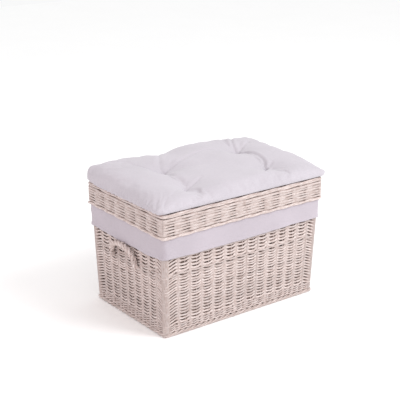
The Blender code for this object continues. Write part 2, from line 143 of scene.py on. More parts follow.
class WeaveSettings(PropertyGroup):
    close_rows: IntProperty(name="Close rows", description="Rows of thin rods in the lower walls",
                            default=17, min=4, max=30)
    open_rows: IntProperty(name="Open rows", description="Rows of stouter rods in the upper walls",
                           default=10, min=2, max=14)
    thin_height: length_prop("Thin rod", "Height of a thin rod", 0.0061, 0.01)
    stout_height: length_prop("Stout rod", "Height of a stout rod", 0.0060, 0.012)
    rod_depth: length_prop("Rod depth", "Thickness of a rod through the wall", 0.0054, 0.01)
    outer: length_prop("Outer depth", "Depth of the rods' middle where they stand out", 0.0041, 0.01)
    inner: length_prop("Inner depth", "Depth of the rods' middle behind an upright", 0.0055, 0.01)
    ripple: length_prop("Ripple", "How far rods rise and fall between uprights", 0.0023, 0.006)
    corner_dip: length_prop("Corner dip", "How far the rows drop where they turn a corner", 0.0075, 0.02)
    upright_inset: length_prop("First upright", "Distance of the first upright from a corner", 0.047, 0.1)
    upright_pitch: length_prop("Upright pitch", "Aimed distance between bold uprights", 0.041, 0.1)
    upright_width: length_prop("Bold upright", "Width of the uprights in front of the rods", 0.0105, 0.015)
    hidden_width: length_prop("Slim upright", "Width of the uprights behind the rods", 0.0034, 0.012)


class LidSettings(PropertyGroup):
    rows: IntProperty(name="Rows", description="Rows of rods in the lid's sides", default=6, min=2, max=10)
    overlap: FloatProperty(name="Overlap", description="Height of a lid rod as a share of the rows' pitch",
                           default=1.24, min=0.8, max=1.6)
    pitch: length_prop("Slot pitch", "Distance between the places where the rods stand apart", 0.0545, 0.1)
    slot: length_prop("Slot width", "Width over which the rods stand apart", 0.038, 0.05)
    strand: length_prop("Top strand", "Width of a strand in the flat weave", 0.0046, 0.01)


class ClothSettings(PropertyGroup):
    wrinkle: length_prop("Wrinkle", "Depth of the cuff's soft wrinkles", 0.0012, 0.01)
    pressure: FloatProperty(name="Filling pressure", description="How hard the filling pushes",
                            default=4.0, min=0.5, max=20)


class HandleSettings(PropertyGroup):
    strand: length_prop("Strand", "Thickness of a strand of the bow", 0.0088, 0.015)
    lay: length_prop("Lay", "Length of one full twist", 0.052, 0.2)


class StageSettings(PropertyGroup):
    azimuth: FloatProperty(name="Azimuth", description="Camera direction round the chest, from the front",
                           default=math.radians(-36.91), subtype="ANGLE")
    elevation: FloatProperty(name="Elevation", description="Camera direction above the floor",
                             default=math.radians(18.88), subtype="ANGLE")
    distance: length_prop("Distance", "Camera distance from its aim", 3.1529, 20)
    aim_height: length_prop("Aim height", "Height that the camera looks at", 0.3125, 2)
    aim_shift: FloatProperty(name="Aim shift", description="Sideways shift of the camera's aim",
                             default=-0.0172, unit="LENGTH")
    lens: FloatProperty(name="Lens", description="Focal length in millimetres", default=92.88, min=10,
                        max=300)
    key: FloatProperty(name="Key light", description="Power of the large soft light", default=66,
                       unit="POWER")
    fill: FloatProperty(name="Room light", description="Brightness of the white surroundings", default=0.95)


GROUPS = {
    "chest_finish": FinishSettings, "chest_weave": WeaveSettings, "chest_lid": LidSettings,
    "chest_cloth": ClothSettings, "chest_handle": HandleSettings, "chest_stage": StageSettings,
}


def add_node(tree, kind, links=None, **settings):
    """Add a node, set its properties and socket values, and link sockets given as (node, output).

    The mix node repeats its socket names, so it goes by number: 0 factor, 6 and 7 colours, 2 result."""
    node = tree.nodes.new(kind)
    for key, value in settings.items():
        setattr(node, key, value)
    for key, value in (links or {}).items():
        if isinstance(value, tuple) and isinstance(value[0], bpy.types.Node):
            tree.links.new(value[0].outputs[value[1]], node.inputs[key])
        else:
            node.inputs[key].default_value = value
    return node


def new_material(name):
    """A material with its node tree and its Principled shader."""
    material = bpy.data.materials.new(name)
    material.use_nodes = True
    tree = material.node_tree
    return material, tree, tree.nodes["Principled BSDF"]


def set_shader(shader, **values):
    """Set the shader's own sockets; underscores in a key stand for spaces."""
    for key, value in values.items():
        shader.inputs[key.replace("_", " ")].default_value = value


def willow_material(name, wash, peeled, roughness):
    """Peeled willow rods, limewashed by brush: chalky on the outer side, warm wood on their sides and backs,
    partly wash that is thin there and partly painted shade in the folds between rods, with mottling along each
    rod and a leaf scar here and there."""
    material, tree, shader = new_material(name)
    space = add_node(tree, "ShaderNodeAttribute", attribute_name="rod_space")
    tone = add_node(tree, "ShaderNodeAttribute", attribute_name="rod_tone")
    face = add_node(tree, "ShaderNodeAttribute", attribute_name="rod_side_shade")
    # brush streaks are finer than this; they are drawn about 14 mm long and 3 mm wide, to show at all
    streak_place = add_node(tree, "ShaderNodeMapping", {"Vector": (space, "Vector"), "Scale": (70, 330, 330)})
    streak = add_node(tree, "ShaderNodeTexNoise", {"Vector": (streak_place, "Vector"), "Scale": 1.0,
                                                   "Detail": 3.0, "Roughness": 0.6})
    # leaf scars lie about 45 mm apart along a rod
    scar_place = add_node(tree, "ShaderNodeMapping", {"Vector": (space, "Vector"), "Scale": (22, 90, 90)})
    scar = add_node(tree, "ShaderNodeTexVoronoi", {"Vector": (scar_place, "Vector"), "Scale": 1.0})
    scar_edge = add_node(tree, "ShaderNodeMapRange", {"Value": (scar, "Distance"), "From Min": 0.03,
                                                      "From Max": 0.12, "To Min": 0.45, "To Max": 1.0})
    worn = add_node(tree, "ShaderNodeMapRange", {"Value": (streak, "Fac"), "From Min": 0.32,
                                                 "From Max": 0.62, "To Min": 0.30, "To Max": 1.0})
    # the wash's cover is the worn streaks times the side mask, which paints shade on the rods' sides and backs
    cover = add_node(tree, "ShaderNodeMath", {0: (worn, "Result"), 1: (face, "Fac")}, operation="MULTIPLY")
    wash_shade_scar = add_node(tree, "ShaderNodeMath", {0: (cover, 0), 1: (scar_edge, "Result")},
                          operation="MULTIPLY")
    washed_and_shaded = add_node(tree, "ShaderNodeMix", {0: (wash_shade_scar, 0), 6: peeled, 7: wash}, data_type="RGBA")
    shade = add_node(tree, "ShaderNodeMapRange", {"Value": (tone, "Fac"), "To Min": 0.84, "To Max": 1.04})
    toned = add_node(tree, "ShaderNodeMix", {0: 1.0, 6: (washed_and_shaded, 2), 7: (shade, "Result")},
                     data_type="RGBA", blend_type="MULTIPLY")
    tree.links.new(toned.outputs[2], shader.inputs["Base Color"])
    bump = add_node(tree, "ShaderNodeBump", {"Height": (streak, "Fac"), "Strength": 0.35, "Distance": 0.0006})
    tree.links.new(bump.outputs[0], shader.inputs["Normal"])
    set_shader(shader, Roughness=roughness, IOR=1.45, Specular_IOR_Level=0.35)
    return material


def cotton_material(name, colour, thread_mm, roughness=0.92):
    """Plain-woven cotton: a soft matt cloth with slubs and a faint sheen at grazing angles."""
    material, tree, shader = new_material(name)
    place = add_node(tree, "ShaderNodeTexCoord")
    thread = 1000 / thread_mm
    # the cloth's threads are about 0.4 mm; they are drawn in groups, as coarse as they need to show
    warp = add_node(tree, "ShaderNodeTexWave", {"Vector": (place, "Object"), "Scale": thread / 6.283,
                                                "Distortion": 1.5, "Detail": 1.0}, bands_direction="X")
    weft = add_node(tree, "ShaderNodeTexWave", {"Vector": (place, "Object"), "Scale": thread / 6.283,
                                                "Distortion": 1.5, "Detail": 1.0}, bands_direction="Z")
    cloth = add_node(tree, "ShaderNodeMath", {0: (warp, "Fac"), 1: (weft, "Fac")}, operation="MAXIMUM")
    slub_place = add_node(tree, "ShaderNodeMapping", {"Vector": (place, "Object"), "Scale": (160, 160, 420)})
    slub = add_node(tree, "ShaderNodeTexNoise", {"Vector": (slub_place, "Vector"), "Scale": 1.0,
                                                 "Detail": 3.0})
    wide = add_node(tree, "ShaderNodeTexNoise", {"Vector": (place, "Object"), "Scale": 9.0, "Detail": 2.0})
    soft = add_node(tree, "ShaderNodeMapRange", {"Value": (wide, "Fac"), "From Min": 0.3, "From Max": 0.7,
                                                 "To Min": 0.95, "To Max": 1.03})
    fleck = add_node(tree, "ShaderNodeMapRange", {"Value": (slub, "Fac"), "From Min": 0.3, "From Max": 0.75,
                                                  "To Min": 0.965, "To Max": 1.02})
    both = add_node(tree, "ShaderNodeMath", {0: (soft, "Result"), 1: (fleck, "Result")}, operation="MULTIPLY")
    toned = add_node(tree, "ShaderNodeMix", {0: 1.0, 6: colour, 7: (both, 0)},
                     data_type="RGBA", blend_type="MULTIPLY")
    tree.links.new(toned.outputs[2], shader.inputs["Base Color"])
    low_bump = add_node(tree, "ShaderNodeBump", {"Height": (cloth, 0), "Strength": 0.25, "Distance": 0.0003})
    bump = add_node(tree, "ShaderNodeBump", {"Height": (slub, "Fac"), "Normal": (low_bump, 0),
                                             "Strength": 0.3, "Distance": 0.0006})
    tree.links.new(bump.outputs[0], shader.inputs["Normal"])
    set_shader(shader, Roughness=roughness, IOR=1.46, Specular_IOR_Level=0.2, Sheen_Weight=0.25,
               Sheen_Roughness=0.5)
    return material


def floor_material(name, colour):
    """Matt paper sweep: even and pale, with the faintest mottling."""
    material, tree, shader = new_material(name)
    place = add_node(tree, "ShaderNodeTexCoord")
    mottle = add_node(tree, "ShaderNodeTexNoise", {"Vector": (place, "Object"), "Scale": 3.0, "Detail": 2.0})
    shade = add_node(tree, "ShaderNodeMapRange", {"Value": (mottle, "Fac"), "To Min": 0.985, "To Max": 1.01})
    toned = add_node(tree, "ShaderNodeMix", {0: 1.0, 6: colour, 7: (shade, "Result")},
                     data_type="RGBA", blend_type="MULTIPLY")
    tree.links.new(toned.outputs[2], shader.inputs["Base Color"])
    set_shader(shader, Roughness=0.95, Specular_IOR_Level=0.1)
    return material


def finish(kind):
    """The material of a kind, made once from the finish settings."""
    made = bpy.data.materials.get(kind)
    if made:
        return made
    colours = bpy.context.scene.chest_finish
    makers = {
        "limewashed_willow_rod": lambda: willow_material(kind, colours.wash[:], colours.peeled[:], 0.60),
        # the sticks take the darker stick wash, painted shade for the light that the flat uprights catch
        "limewashed_willow_stick": lambda: willow_material(kind, colours.stick[:], colours.peeled[:], 0.58),
        "split_willow_skein": lambda: willow_material(kind, colours.skein[:], colours.peeled[:], 0.50),
        "plain_woven_lining_cotton": lambda: cotton_material(kind, colours.lining[:], 1.6),
        "painted_slot_shade_cotton": lambda: cotton_material(kind, colours.backing[:], 1.6),
        "plain_woven_cushion_cotton": lambda: cotton_material(kind, colours.ticking[:], 1.8),
        "twisted_cotton_thread": lambda: cotton_material(kind, colours.thread[:], 1.2, 0.8),
        "matt_paper_floor": lambda: floor_material(kind, colours.floor[:]),
    }
    return makers[kind]()


# ---- rods ------------------------------------------------------------------------------------------
def add_object(name, data):
    """An object of the scene that shows a mesh, camera or light."""
    obj = bpy.data.objects.new(name, data)
    bpy.context.scene.collection.objects.link(obj)
    return obj


def unit(vectors):
    """Vectors scaled to length one."""
    return vectors / np.maximum(np.linalg.norm(vectors, axis=-1, keepdims=True), 1e-9)


def run_along(points):
    """Distance from the first point along a line."""
    return np.concatenate(([0.0], np.cumsum(np.linalg.norm(np.diff(points, axis=0), axis=1))))


def slow_noise(rng, along, size, longest):
    """A smooth random curve along a rod, within about plus or minus size."""
    total = np.zeros_like(along)
    for octave in (1.0, 0.47, 0.23):
        total += octave * np.sin(2 * math.pi * along / (longest * octave) + rng.uniform(0, 2 * math.pi))
    return size * total / 1.7


class Rods:
    """Collects rods of round or oval section and makes one mesh of them."""

    def __init__(self, sides=8):
        self.sides = sides
        self.points, self.faces, self.caps, self.space, self.tone, self.face = [], [], [], [], [], []
        self.count = 0

    def add(self, path, outward, depth, height, tone, closed=False, offset=0.0):
        """One rod along a path; outward says which way its depth is measured."""
        path = np.asarray(path, float)
        outward = np.broadcast_to(np.asarray(outward, float), path.shape)
        number = len(path)
        if closed:
            tangent = unit(np.roll(path, -1, 0) - np.roll(path, 1, 0))
        else:
            tangent = unit(np.gradient(path, axis=0))
        across = unit(outward - tangent * np.sum(outward * tangent, 1, keepdims=True))
        upward = np.cross(tangent, across)
        depth = np.broadcast_to(np.asarray(depth, float), (number,))[:, None, None] / 2
        height = np.broadcast_to(np.asarray(height, float), (number,))[:, None, None] / 2
        turn = 2 * math.pi * (np.arange(self.sides) + 0.5) / self.sides
        cosine, sine = np.cos(turn)[None, :, None], np.sin(turn)[None, :, None]
        shell = path[:, None] + across[:, None] * depth * cosine + upward[:, None] * height * sine
        along = run_along(path)[:, None] + offset
        self.points.append(shell.reshape(-1, 3))
        self.space.append(np.stack((np.broadcast_to(along, shell.shape[:2]),
                                    (depth * cosine)[..., 0] + offset,
                                    (height * sine)[..., 0] + 0 * along), -1).reshape(-1, 3))
        # full wash on a rod's outer side and less on its sides and back: partly wash that is thin there,
        # partly painted shade in the folds between rods
        painted_side_shade = np.clip(0.62 + 0.5 * np.cos(turn), 0, 1)
        self.face.append(np.broadcast_to(painted_side_shade, shell.shape[:2]).reshape(-1))
        self.tone.append(np.full(shell.shape[0] * self.sides, tone))
        rings = number if closed else number - 1
        i = np.arange(rings)[:, None]
        j = np.arange(self.sides)[None, :]
        here, there = i * self.sides, ((i + 1) % number) * self.sides
        nxt = (j + 1) % self.sides
        quads = np.stack((here + j, there + j, there + nxt, here + nxt), -1).reshape(-1, 4)
        self.faces.append(quads + self.count)
        if not closed:
            last = (number - 1) * self.sides
            self.caps.append([self.count + k for k in range(self.sides)])
            self.caps.append([self.count + last + k for k in reversed(range(self.sides))])
        self.count += shell.shape[0] * self.sides

    def build(self, name, material):
        """Make the mesh object with the attributes that the willow material reads."""
        mesh = bpy.data.meshes.new(name)
        faces = np.concatenate(self.faces)
        mesh.from_pydata(np.concatenate(self.points), [], faces.tolist() + self.caps)
        for label, kind, rows in (("rod_space", "FLOAT_VECTOR", self.space), ("rod_tone", "FLOAT", self.tone),
                                  ("rod_side_shade", "FLOAT", self.face)):
            layer = mesh.attributes.new(label, kind, "POINT")
            layer.data.foreach_set("vector" if kind == "FLOAT_VECTOR" else "value",
                                   np.concatenate(rows).astype(np.float32).ravel())
        mesh.materials.append(finish(material))
        mesh.shade_smooth()
        mesh.set_sharp_from_angle(angle=math.radians(62))
        return add_object(name, mesh)


def settle(obj, body, nodes):
    """Hang a finished piece on its body in place of its frame nodes."""
    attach(obj, body)
    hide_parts(*nodes)
    return obj


def swing(along, knots, values):
    """A smooth wave through values at knots."""
    place = np.clip(np.searchsorted(knots, along) - 1, 0, len(knots) - 2)
    start, end = knots[place], knots[place + 1]
    share = np.clip((along - start) / (end - start), 0, 1)
    share = (1 - np.cos(math.pi * share)) / 2
    return values[place] + (values[place + 1] - values[place]) * share


def side_line(side, half, along, inset, z, corner=CORNER):
    """World points and outward directions of a line that runs the length of a side.

    It turns half of each corner at its ends. along is measured on a line at the wall's middle."""
    (ux, uy), (vx, vy) = SIDES[side]
    half_x, half_y = half(z)
    reach, out = (half_x, half_y) if side in ("front", "back") else (half_y, half_x)
    middle = corner - WALL / 2
    straight = reach - corner
    past = np.maximum(np.abs(along) - straight, 0)
    turn = past / middle
    radius = corner - inset
    sign = np.sign(along)
    a = sign * (np.minimum(np.abs(along), straight) + radius * np.sin(turn))
    o = out - corner + radius * np.cos(turn)
    na, no = sign * np.sin(turn), np.cos(turn)
    points = np.stack((ux * a + vx * o, uy * a + vy * o, z + 0 * a), -1)
    return points, np.stack((ux * na + vx * no, uy * na + vy * no, 0 * na), -1)


def side_reach(side, half, z, corner=CORNER):
    """Half length of a side's line up to the middle of its corners, and its straight part."""
    half_x, half_y = half(z)
    straight = (half_x if side in ("front", "back") else half_y) - corner
    return straight + (corner - WALL / 2) * math.pi / 4, straight


def side_samples(side, half, z, step=STEP, corner=CORNER):
    """Places along a side's line, as many at every height, close together where it turns."""
    reach, straight = side_reach(side, half, z, corner)
    count = max(4, round(2 * side_reach(side, half, RIM_TOP)[1] / step))
    ends = np.linspace(straight, reach, TURN_STEPS + 1)[1:]
    return np.concatenate((-ends[::-1], np.linspace(-straight, straight, count + 1), ends))


SLIM_SHARE = 0.60         # place of a slim upright in the space between two bold ones
QUICK_SHARE = 0.24        # where in that space a rod has come out from behind the bold upright
CROWD_REACH = 0.0078      # how far from a bold upright's middle its rods lie close together
OFFSETS = 9               # span of the random starts of the rods' grain
BASE_STRAND = 0.0062      # width of a strand in the base
# shift of the bold uprights along a side, and how much further those near its middle are shifted
DRIFTS = {"front": (0.004, 0.0075), "left": (0.004, 0.004), "right": (0.002, -0.004),
          "back": (0.002, -0.004)}


def upright_places(side, z):
    """Distances along a side of the bold uprights and the slim ones between them, at height z."""
    weave = bpy.context.scene.chest_weave
    length = basket_half(RIM_TOP)[0 if side in ("front", "back") else 1]
    count = max(2, round(2 * (length - weave.upright_inset) / weave.upright_pitch) + 1)
    reach = basket_half(z)[0 if side in ("front", "back") else 1] - weave.upright_inset
    bold = np.linspace(-reach, reach, count)
    drift, crowd = DRIFTS[side]
    bold = bold + drift + crowd * (1 - (bold / reach) ** 2) ** 1.5
    return bold, bold[:-1] + SLIM_SHARE * np.diff(bold)


# ---- basket ------------------------------------------------------------------------------------------
def corner_share(side, half, z, along, spread=0.012):
    """One where the line turns a corner, falling to nothing on the flat."""
    _reach, straight = side_reach(side, half, z)
    return np.clip(1 - (straight + 0.002 - np.abs(along)) / spread, 0, 1)


def weave_side(name, side, node, levels, rod_height, seed):
    """Rows of rods of one wall, one at each level.

    They pass behind the bold uprights, where they lie close together, and in front of the slim ones,
    all rows alike, and drop where they turn a corner."""
    weave = bpy.context.scene.chest_weave
    rng = np.random.default_rng(seed)
    rods = Rods(8)
    pitch = (levels[-1] - levels[0]) / (len(levels) - 1)
    level_at = 0.050          # the rows below this height drop less at the corners
    for z_row in levels:
        bold, slim = upright_places(side, z_row)
        reach, _straight = side_reach(side, basket_half, z_row)
        quick = bold[:-1] + QUICK_SHARE * np.diff(bold)
        knots = np.sort(np.concatenate((bold, quick, slim, [-reach, reach])))
        sign = np.where(np.isin(knots, bold), -1.0, np.where(np.isin(knots, quick), 0.55, 0.9))
        along = side_samples(side, basket_half, z_row)
        depths = np.where(sign > 0, weave.outer, weave.inner) + rng.uniform(-0.0003, 0.0003, len(knots))
        depths[0] = depths[-1] = weave.outer + rng.uniform(-0.0005, 0.0002)
        lift = -weave.ripple * sign * rng.uniform(0.75, 1.2, len(knots))
        lift[0] = lift[-1] = -weave.corner_dip * min(1, z_row / level_at)
        inset = swing(along, knots, depths)
        wander = slow_noise(rng, along, 0.0005, 0.21)
        z = z_row + swing(along, knots, lift) + wander + rng.uniform(-0.0004, 0.0004)
        closed = sum(np.exp(-((along - place) / CROWD_REACH) ** 4) for place in bold)
        girth = rod_height * rng.uniform(0.93, 1.07) * (1 + slow_noise(rng, along, 0.07, 0.30))
        height = girth + (pitch * 1.10 - girth) * 0.85 * closed
        path, outward = side_line(side, basket_half, along, inset, z)
        rods.add(path, outward, weave.rod_depth * rng.uniform(0.94, 1.06), height, rng.uniform(),
                 offset=rng.uniform(0, OFFSETS))
    obj = rods.build(name, "limewashed_willow_rod")
    return settle(obj, "basket", [node])


def ring_line(half, z_of, inset, corner=CORNER, step=STEP):
    """A closed line round a box: points, outward directions, distance run, and share of corner."""
    points, outs, share = [], [], []
    for side in SIDES:
        z_mid = z_of(np.zeros(1))[0]
        along = side_samples(side, half, z_mid, step, corner)[:-1]
        turning = corner_share(side, half, z_mid, along, 0.030)
        line, out = side_line(side, half, along, inset, z_of(turning), corner)
        points.append(line)
        outs.append(out)
        share.append(turning)
    points, outs, share = np.concatenate(points), np.concatenate(outs), np.concatenate(share)
    steps = np.linalg.norm(np.roll(points, -1, 0) - points, axis=1)
    run = np.concatenate(([0.0], np.cumsum(steps)[:-1]))
    return points, outs, run, steps.sum(), share


def rope_ring(rods, rng, half, z, inset, strands, swing_out, swing_up, depth, height, lay, dip=0.0,
              corner=CORNER):
    """Strands laid round each other in a closed ring round the box, one full turn each lay.

    swing_out and swing_up are how far a strand's middle swings; dip is how far the ring drops at the
    corners."""
    points, outs, run, length, _share = ring_line(half, lambda turning: z - dip * turning, inset, corner)
    turns = max(1, round(length / lay))
    for strand in range(strands):
        phase = 2 * math.pi * (run / length * turns + strand / strands) + rng.uniform(0, 0.25)
        rise = np.zeros_like(points)
        rise[:, 2] = swing_up * np.sin(phase)
        path = points + outs * (swing_out * np.cos(phase))[:, None] + rise
        girth = 1 + slow_noise(rng, run, 0.06, 0.35)
        rods.add(path, outs, depth * girth, height * girth, rng.uniform(), closed=True,
                 offset=rng.uniform(0, OFFSETS))


def make_foot():
    """The border that the chest stands on, and the tight paired rows above it."""
    rng = np.random.default_rng(11)
    z0, z1 = zone("foot_border")
    border = Rods(8)
    rope_ring(border, rng, basket_half, (z0 + z1) / 2, WALL / 2 - 0.0020, strands=3, swing_out=0.0031,
              swing_up=0.0030, depth=0.0058, height=0.0058, lay=0.062, corner=0.009)
    settle(border.build("foot_border_rods", "limewashed_willow_rod"), "basket", ["foot_border"])
    z0, z1 = zone("foot_wale")
    wale = Rods(8)
    rows = 3
    for row in range(rows):
        z = z0 + (z1 - z0) * (row + 0.5) / rows
        rope_ring(wale, rng, basket_half, z, WALL / 2, strands=2, swing_out=0.0030, swing_up=0.0017,
                  depth=0.0050, height=0.0052, lay=0.0415, dip=0.0012 * row)
    settle(wale.build("foot_wale_rods", "limewashed_willow_rod"), "basket", ["foot_wale"])


def make_mid_wale():
    """The band of two stouter rods between the close and the open rows."""
    rng = np.random.default_rng(12)
    z0, z1 = zone("mid_wale")
    wale = Rods(8)
    dip = bpy.context.scene.chest_weave.corner_dip
    rope_ring(wale, rng, basket_half, (z0 + z1) / 2, WALL / 2, strands=2, swing_out=0.0028,
              swing_up=0.0022, depth=0.0054, height=0.0062, lay=0.083, dip=dip * 0.9)
    settle(wale.build("mid_wale_rods", "limewashed_willow_rod"), "basket", ["mid_wale"])


def make_walls():
    """Close rows that draw together upwards, and open rows that are evenly spaced."""
    weave = bpy.context.scene.chest_weave
    thin, stout = weave.thin_height, weave.stout_height
    for number, side in enumerate(SIDES):
        z0, z1 = zone(f"lower_weave_{side}")
        share = np.linspace(0, 1, weave.close_rows)
        levels = z0 + thin * 0.8 + (z1 - z0 - thin * 1.5) * (share + 0.10 * share * (1 - share))
        weave_side(f"close_rows_{side}", side, f"lower_weave_{side}", levels, thin, 21 + number)
        z0, z1 = zone(f"upper_weave_{side}")
        levels = np.linspace(z0 + stout / 2, z1 - stout * 0.7, weave.open_rows)
        weave_side(f"open_rows_{side}", side, f"upper_weave_{side}", levels, stout, 31 + number)


def upright(rods, side, place_of, inset, z0, z1, width, depth, rng, half=basket_half, steps=14):
    """One upright stick; place_of gives its distance along the side at a height."""
    heights = np.linspace(z0, z1, steps)
    wander = slow_noise(rng, heights, 0.0006, 0.19)
    lines = [side_line(side, half, np.array([place_of(z) + w]), inset, np.array([z]))
             for z, w in zip(heights, wander)]
    path = np.concatenate([line[0] for line in lines])
    out = np.concatenate([line[1] for line in lines])
    girth = 1 + slow_noise(rng, heights, 0.07, 0.25)
    rods.add(path, out, depth * girth, width * girth, rng.uniform(), offset=rng.uniform(0, OFFSETS))


def make_uprights():
    """The uprights of each wall with the border that finishes them, and the corner posts."""
    weave = bpy.context.scene.chest_weave
    tuck = 0.008              # the uprights end this far below the border's top
    border, lay = 0.0056, 0.07
    for number, side in enumerate(SIDES):
        rng = np.random.default_rng(41 + number)
        rods = Rods(8)
        z0, z1 = zone(f"stakes_and_border_{side}")
        bold, slim = upright_places(side, RIM_TOP)
        for index in range(len(bold)):
            upright(rods, side, lambda z: upright_places(side, z)[0][index], 0.0046, z0, z1 - tuck,
                    weave.upright_width, 0.0046, rng)
        for index in range(len(slim)):
            upright(rods, side, lambda z: upright_places(side, z)[1][index], 0.0064, z0, z1 - tuck,
                    weave.hidden_width, 0.0040, rng)
        along = side_samples(side, basket_half, z1)
        for strand in range(3):
            phase = 2 * math.pi * (along / lay + strand / 3)
            path, out = side_line(side, basket_half, along, WALL / 2 - 0.0030 * np.cos(phase),
                                  z1 - 0.0062 + 0.0029 * np.sin(phase))
            rods.add(path, out, border, border, rng.uniform(), offset=rng.uniform(0, OFFSETS))
        settle(rods.build(f"uprights_and_border_{side}", "limewashed_willow_stick"), "basket",
               [f"stakes_and_border_{side}"])
    for corner, (sx, sy) in CORNERS.items():
        rng = np.random.default_rng(51 + 2 * sx + sy)
        z1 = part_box(f"corner_post_{corner}")[1].z
        post_stick(f"post_{corner}", f"corner_post_{corner}", basket_half, (sx, sy), rng, "basket",
                   inset=CORNER, z0=0.0004, z1=z1, width=0.0238)


def post_stick(name, node, half, signs, rng, body, inset, z0, z1, width):
    """A stout round corner stick, slightly uneven along its length and thinner at its foot."""
    heights = np.linspace(z0, z1, 16)
    path = np.array([(signs[0] * (half(z)[0] - inset), signs[1] * (half(z)[1] - inset), z) for z in heights])
    girth = width * (1 + slow_noise(rng, heights, 0.03, 0.3))
    girth[0] *= 0.86
    rods = Rods(16)
    rods.add(path, (signs[0], signs[1], 0), girth, girth, rng.uniform(0, 0.3), offset=rng.uniform(0, OFFSETS))
    return settle(rods.build(name, "limewashed_willow_stick"), body, [node])


def flat_weave(name, node, stick_prefix, stick_count, strand, seed, body):
    """A flat panel: strands across lengthwise sticks, over one and under the next."""
    rng = np.random.default_rng(seed)
    low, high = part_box(node)
    z_mid, lift = (low.z + high.z) / 2, (high.z - low.z) / 2 - strand * 0.42
    rows = [sum(corner.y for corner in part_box(f"{stick_prefix}_{n}")) / 2 for n in range(1, stick_count + 1)]
    edge = strand / 2
    knots = np.array([low.y + edge] + rows + [high.y - edge])
    rods = Rods(6)
    spacing, corner = 1.04, 0.010     # strands' spacing in widths, and the panel's round corners
    count = round((high.x - low.x - strand) / (strand * spacing))
    for index, x in enumerate(np.linspace(low.x + edge, high.x - edge, count)):
        sign = np.where((np.arange(len(knots)) + index) % 2 == 0, 1.0, -1.0)
        sign[0] = sign[-1] = 0
        along = np.linspace(knots[0], knots[-1], 6 * (len(knots) - 1) + 1)
        cut = max(0.0, corner - (high.x - edge - abs(x)))
        along = along * (1 - cut / (high.y - edge))
        z = z_mid + swing(along, knots, sign * lift)
        path = np.stack((x + slow_noise(rng, along, 0.0003, 0.2), along, z), -1)
        rods.add(path, (0, 0, 1), strand * 0.84, strand * rng.uniform(0.94, 1.04), rng.uniform(),
                 offset=rng.uniform(0, OFFSETS))
    settle(rods.build(name, "limewashed_willow_rod"), body, [node])
    for number in range(1, stick_count + 1):
        low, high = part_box(f"{stick_prefix}_{number}")
        middle, width = (low + high) / 2, high.z - low.z
        stick = Rods(10)
        x = np.linspace(low.x, high.x, 24)
        path = np.stack((x, middle.y + slow_noise(rng, x, 0.0004, 0.3), middle.z + 0 * x), -1)
        stick.add(path, (0, 0, 1), width * 0.92, width * (1 + slow_noise(rng, x, 0.05, 0.3)), rng.uniform(),
                  offset=rng.uniform(0, OFFSETS))
        settle(stick.build(f"{name}_stick_{number}", "limewashed_willow_stick"), body,
               [f"{stick_prefix}_{number}"])


# ---- lining ------------------------------------------------------------------------------------------
CUFF_CLOTH = 0.0009       # thickness of the cuff's doubled cotton
BAG_CLOTH = 0.0006        # thickness of the bag's single cotton


def sheet_object(name, points, faces, material):
    """A smooth cloth surface from its points and faces."""
    mesh = bpy.data.meshes.new(name)
    mesh.from_pydata(np.asarray(points).reshape(-1, 3), [], faces)
    mesh.materials.append(finish(material))
    mesh.shade_smooth()
    return add_object(name, mesh)


def bake_modifiers(obj):
    """Replace an object's mesh by what its modifiers make of it."""
    graph = bpy.context.evaluated_depsgraph_get()
    graph.update()
    mesh = bpy.data.meshes.new_from_object(obj.evaluated_get(graph))
    obj.modifiers.clear()
    obj.data = mesh


def thicken(obj, thickness, even, inner_material=0):
    """Give a sheet its thickness, half on each side; its inner side may take the next material."""
    shell = obj.modifiers.new("thickness", "SOLIDIFY")
    shell.thickness = thickness
    shell.offset = 0
    shell.use_even_offset = even
    shell.material_offset = inner_material
    bake_modifiers(obj)


def angle_round(points):
    """Direction of points from the chest's middle, with its sides made equal."""
    return np.arctan2(points[:, 1] / CUFF_TOP.y, points[:, 0] / CUFF_TOP.x)


def bump_at(x, centre, width):
    """A smooth bump of height one."""
    return np.exp(-((x - centre) / width) ** 2)


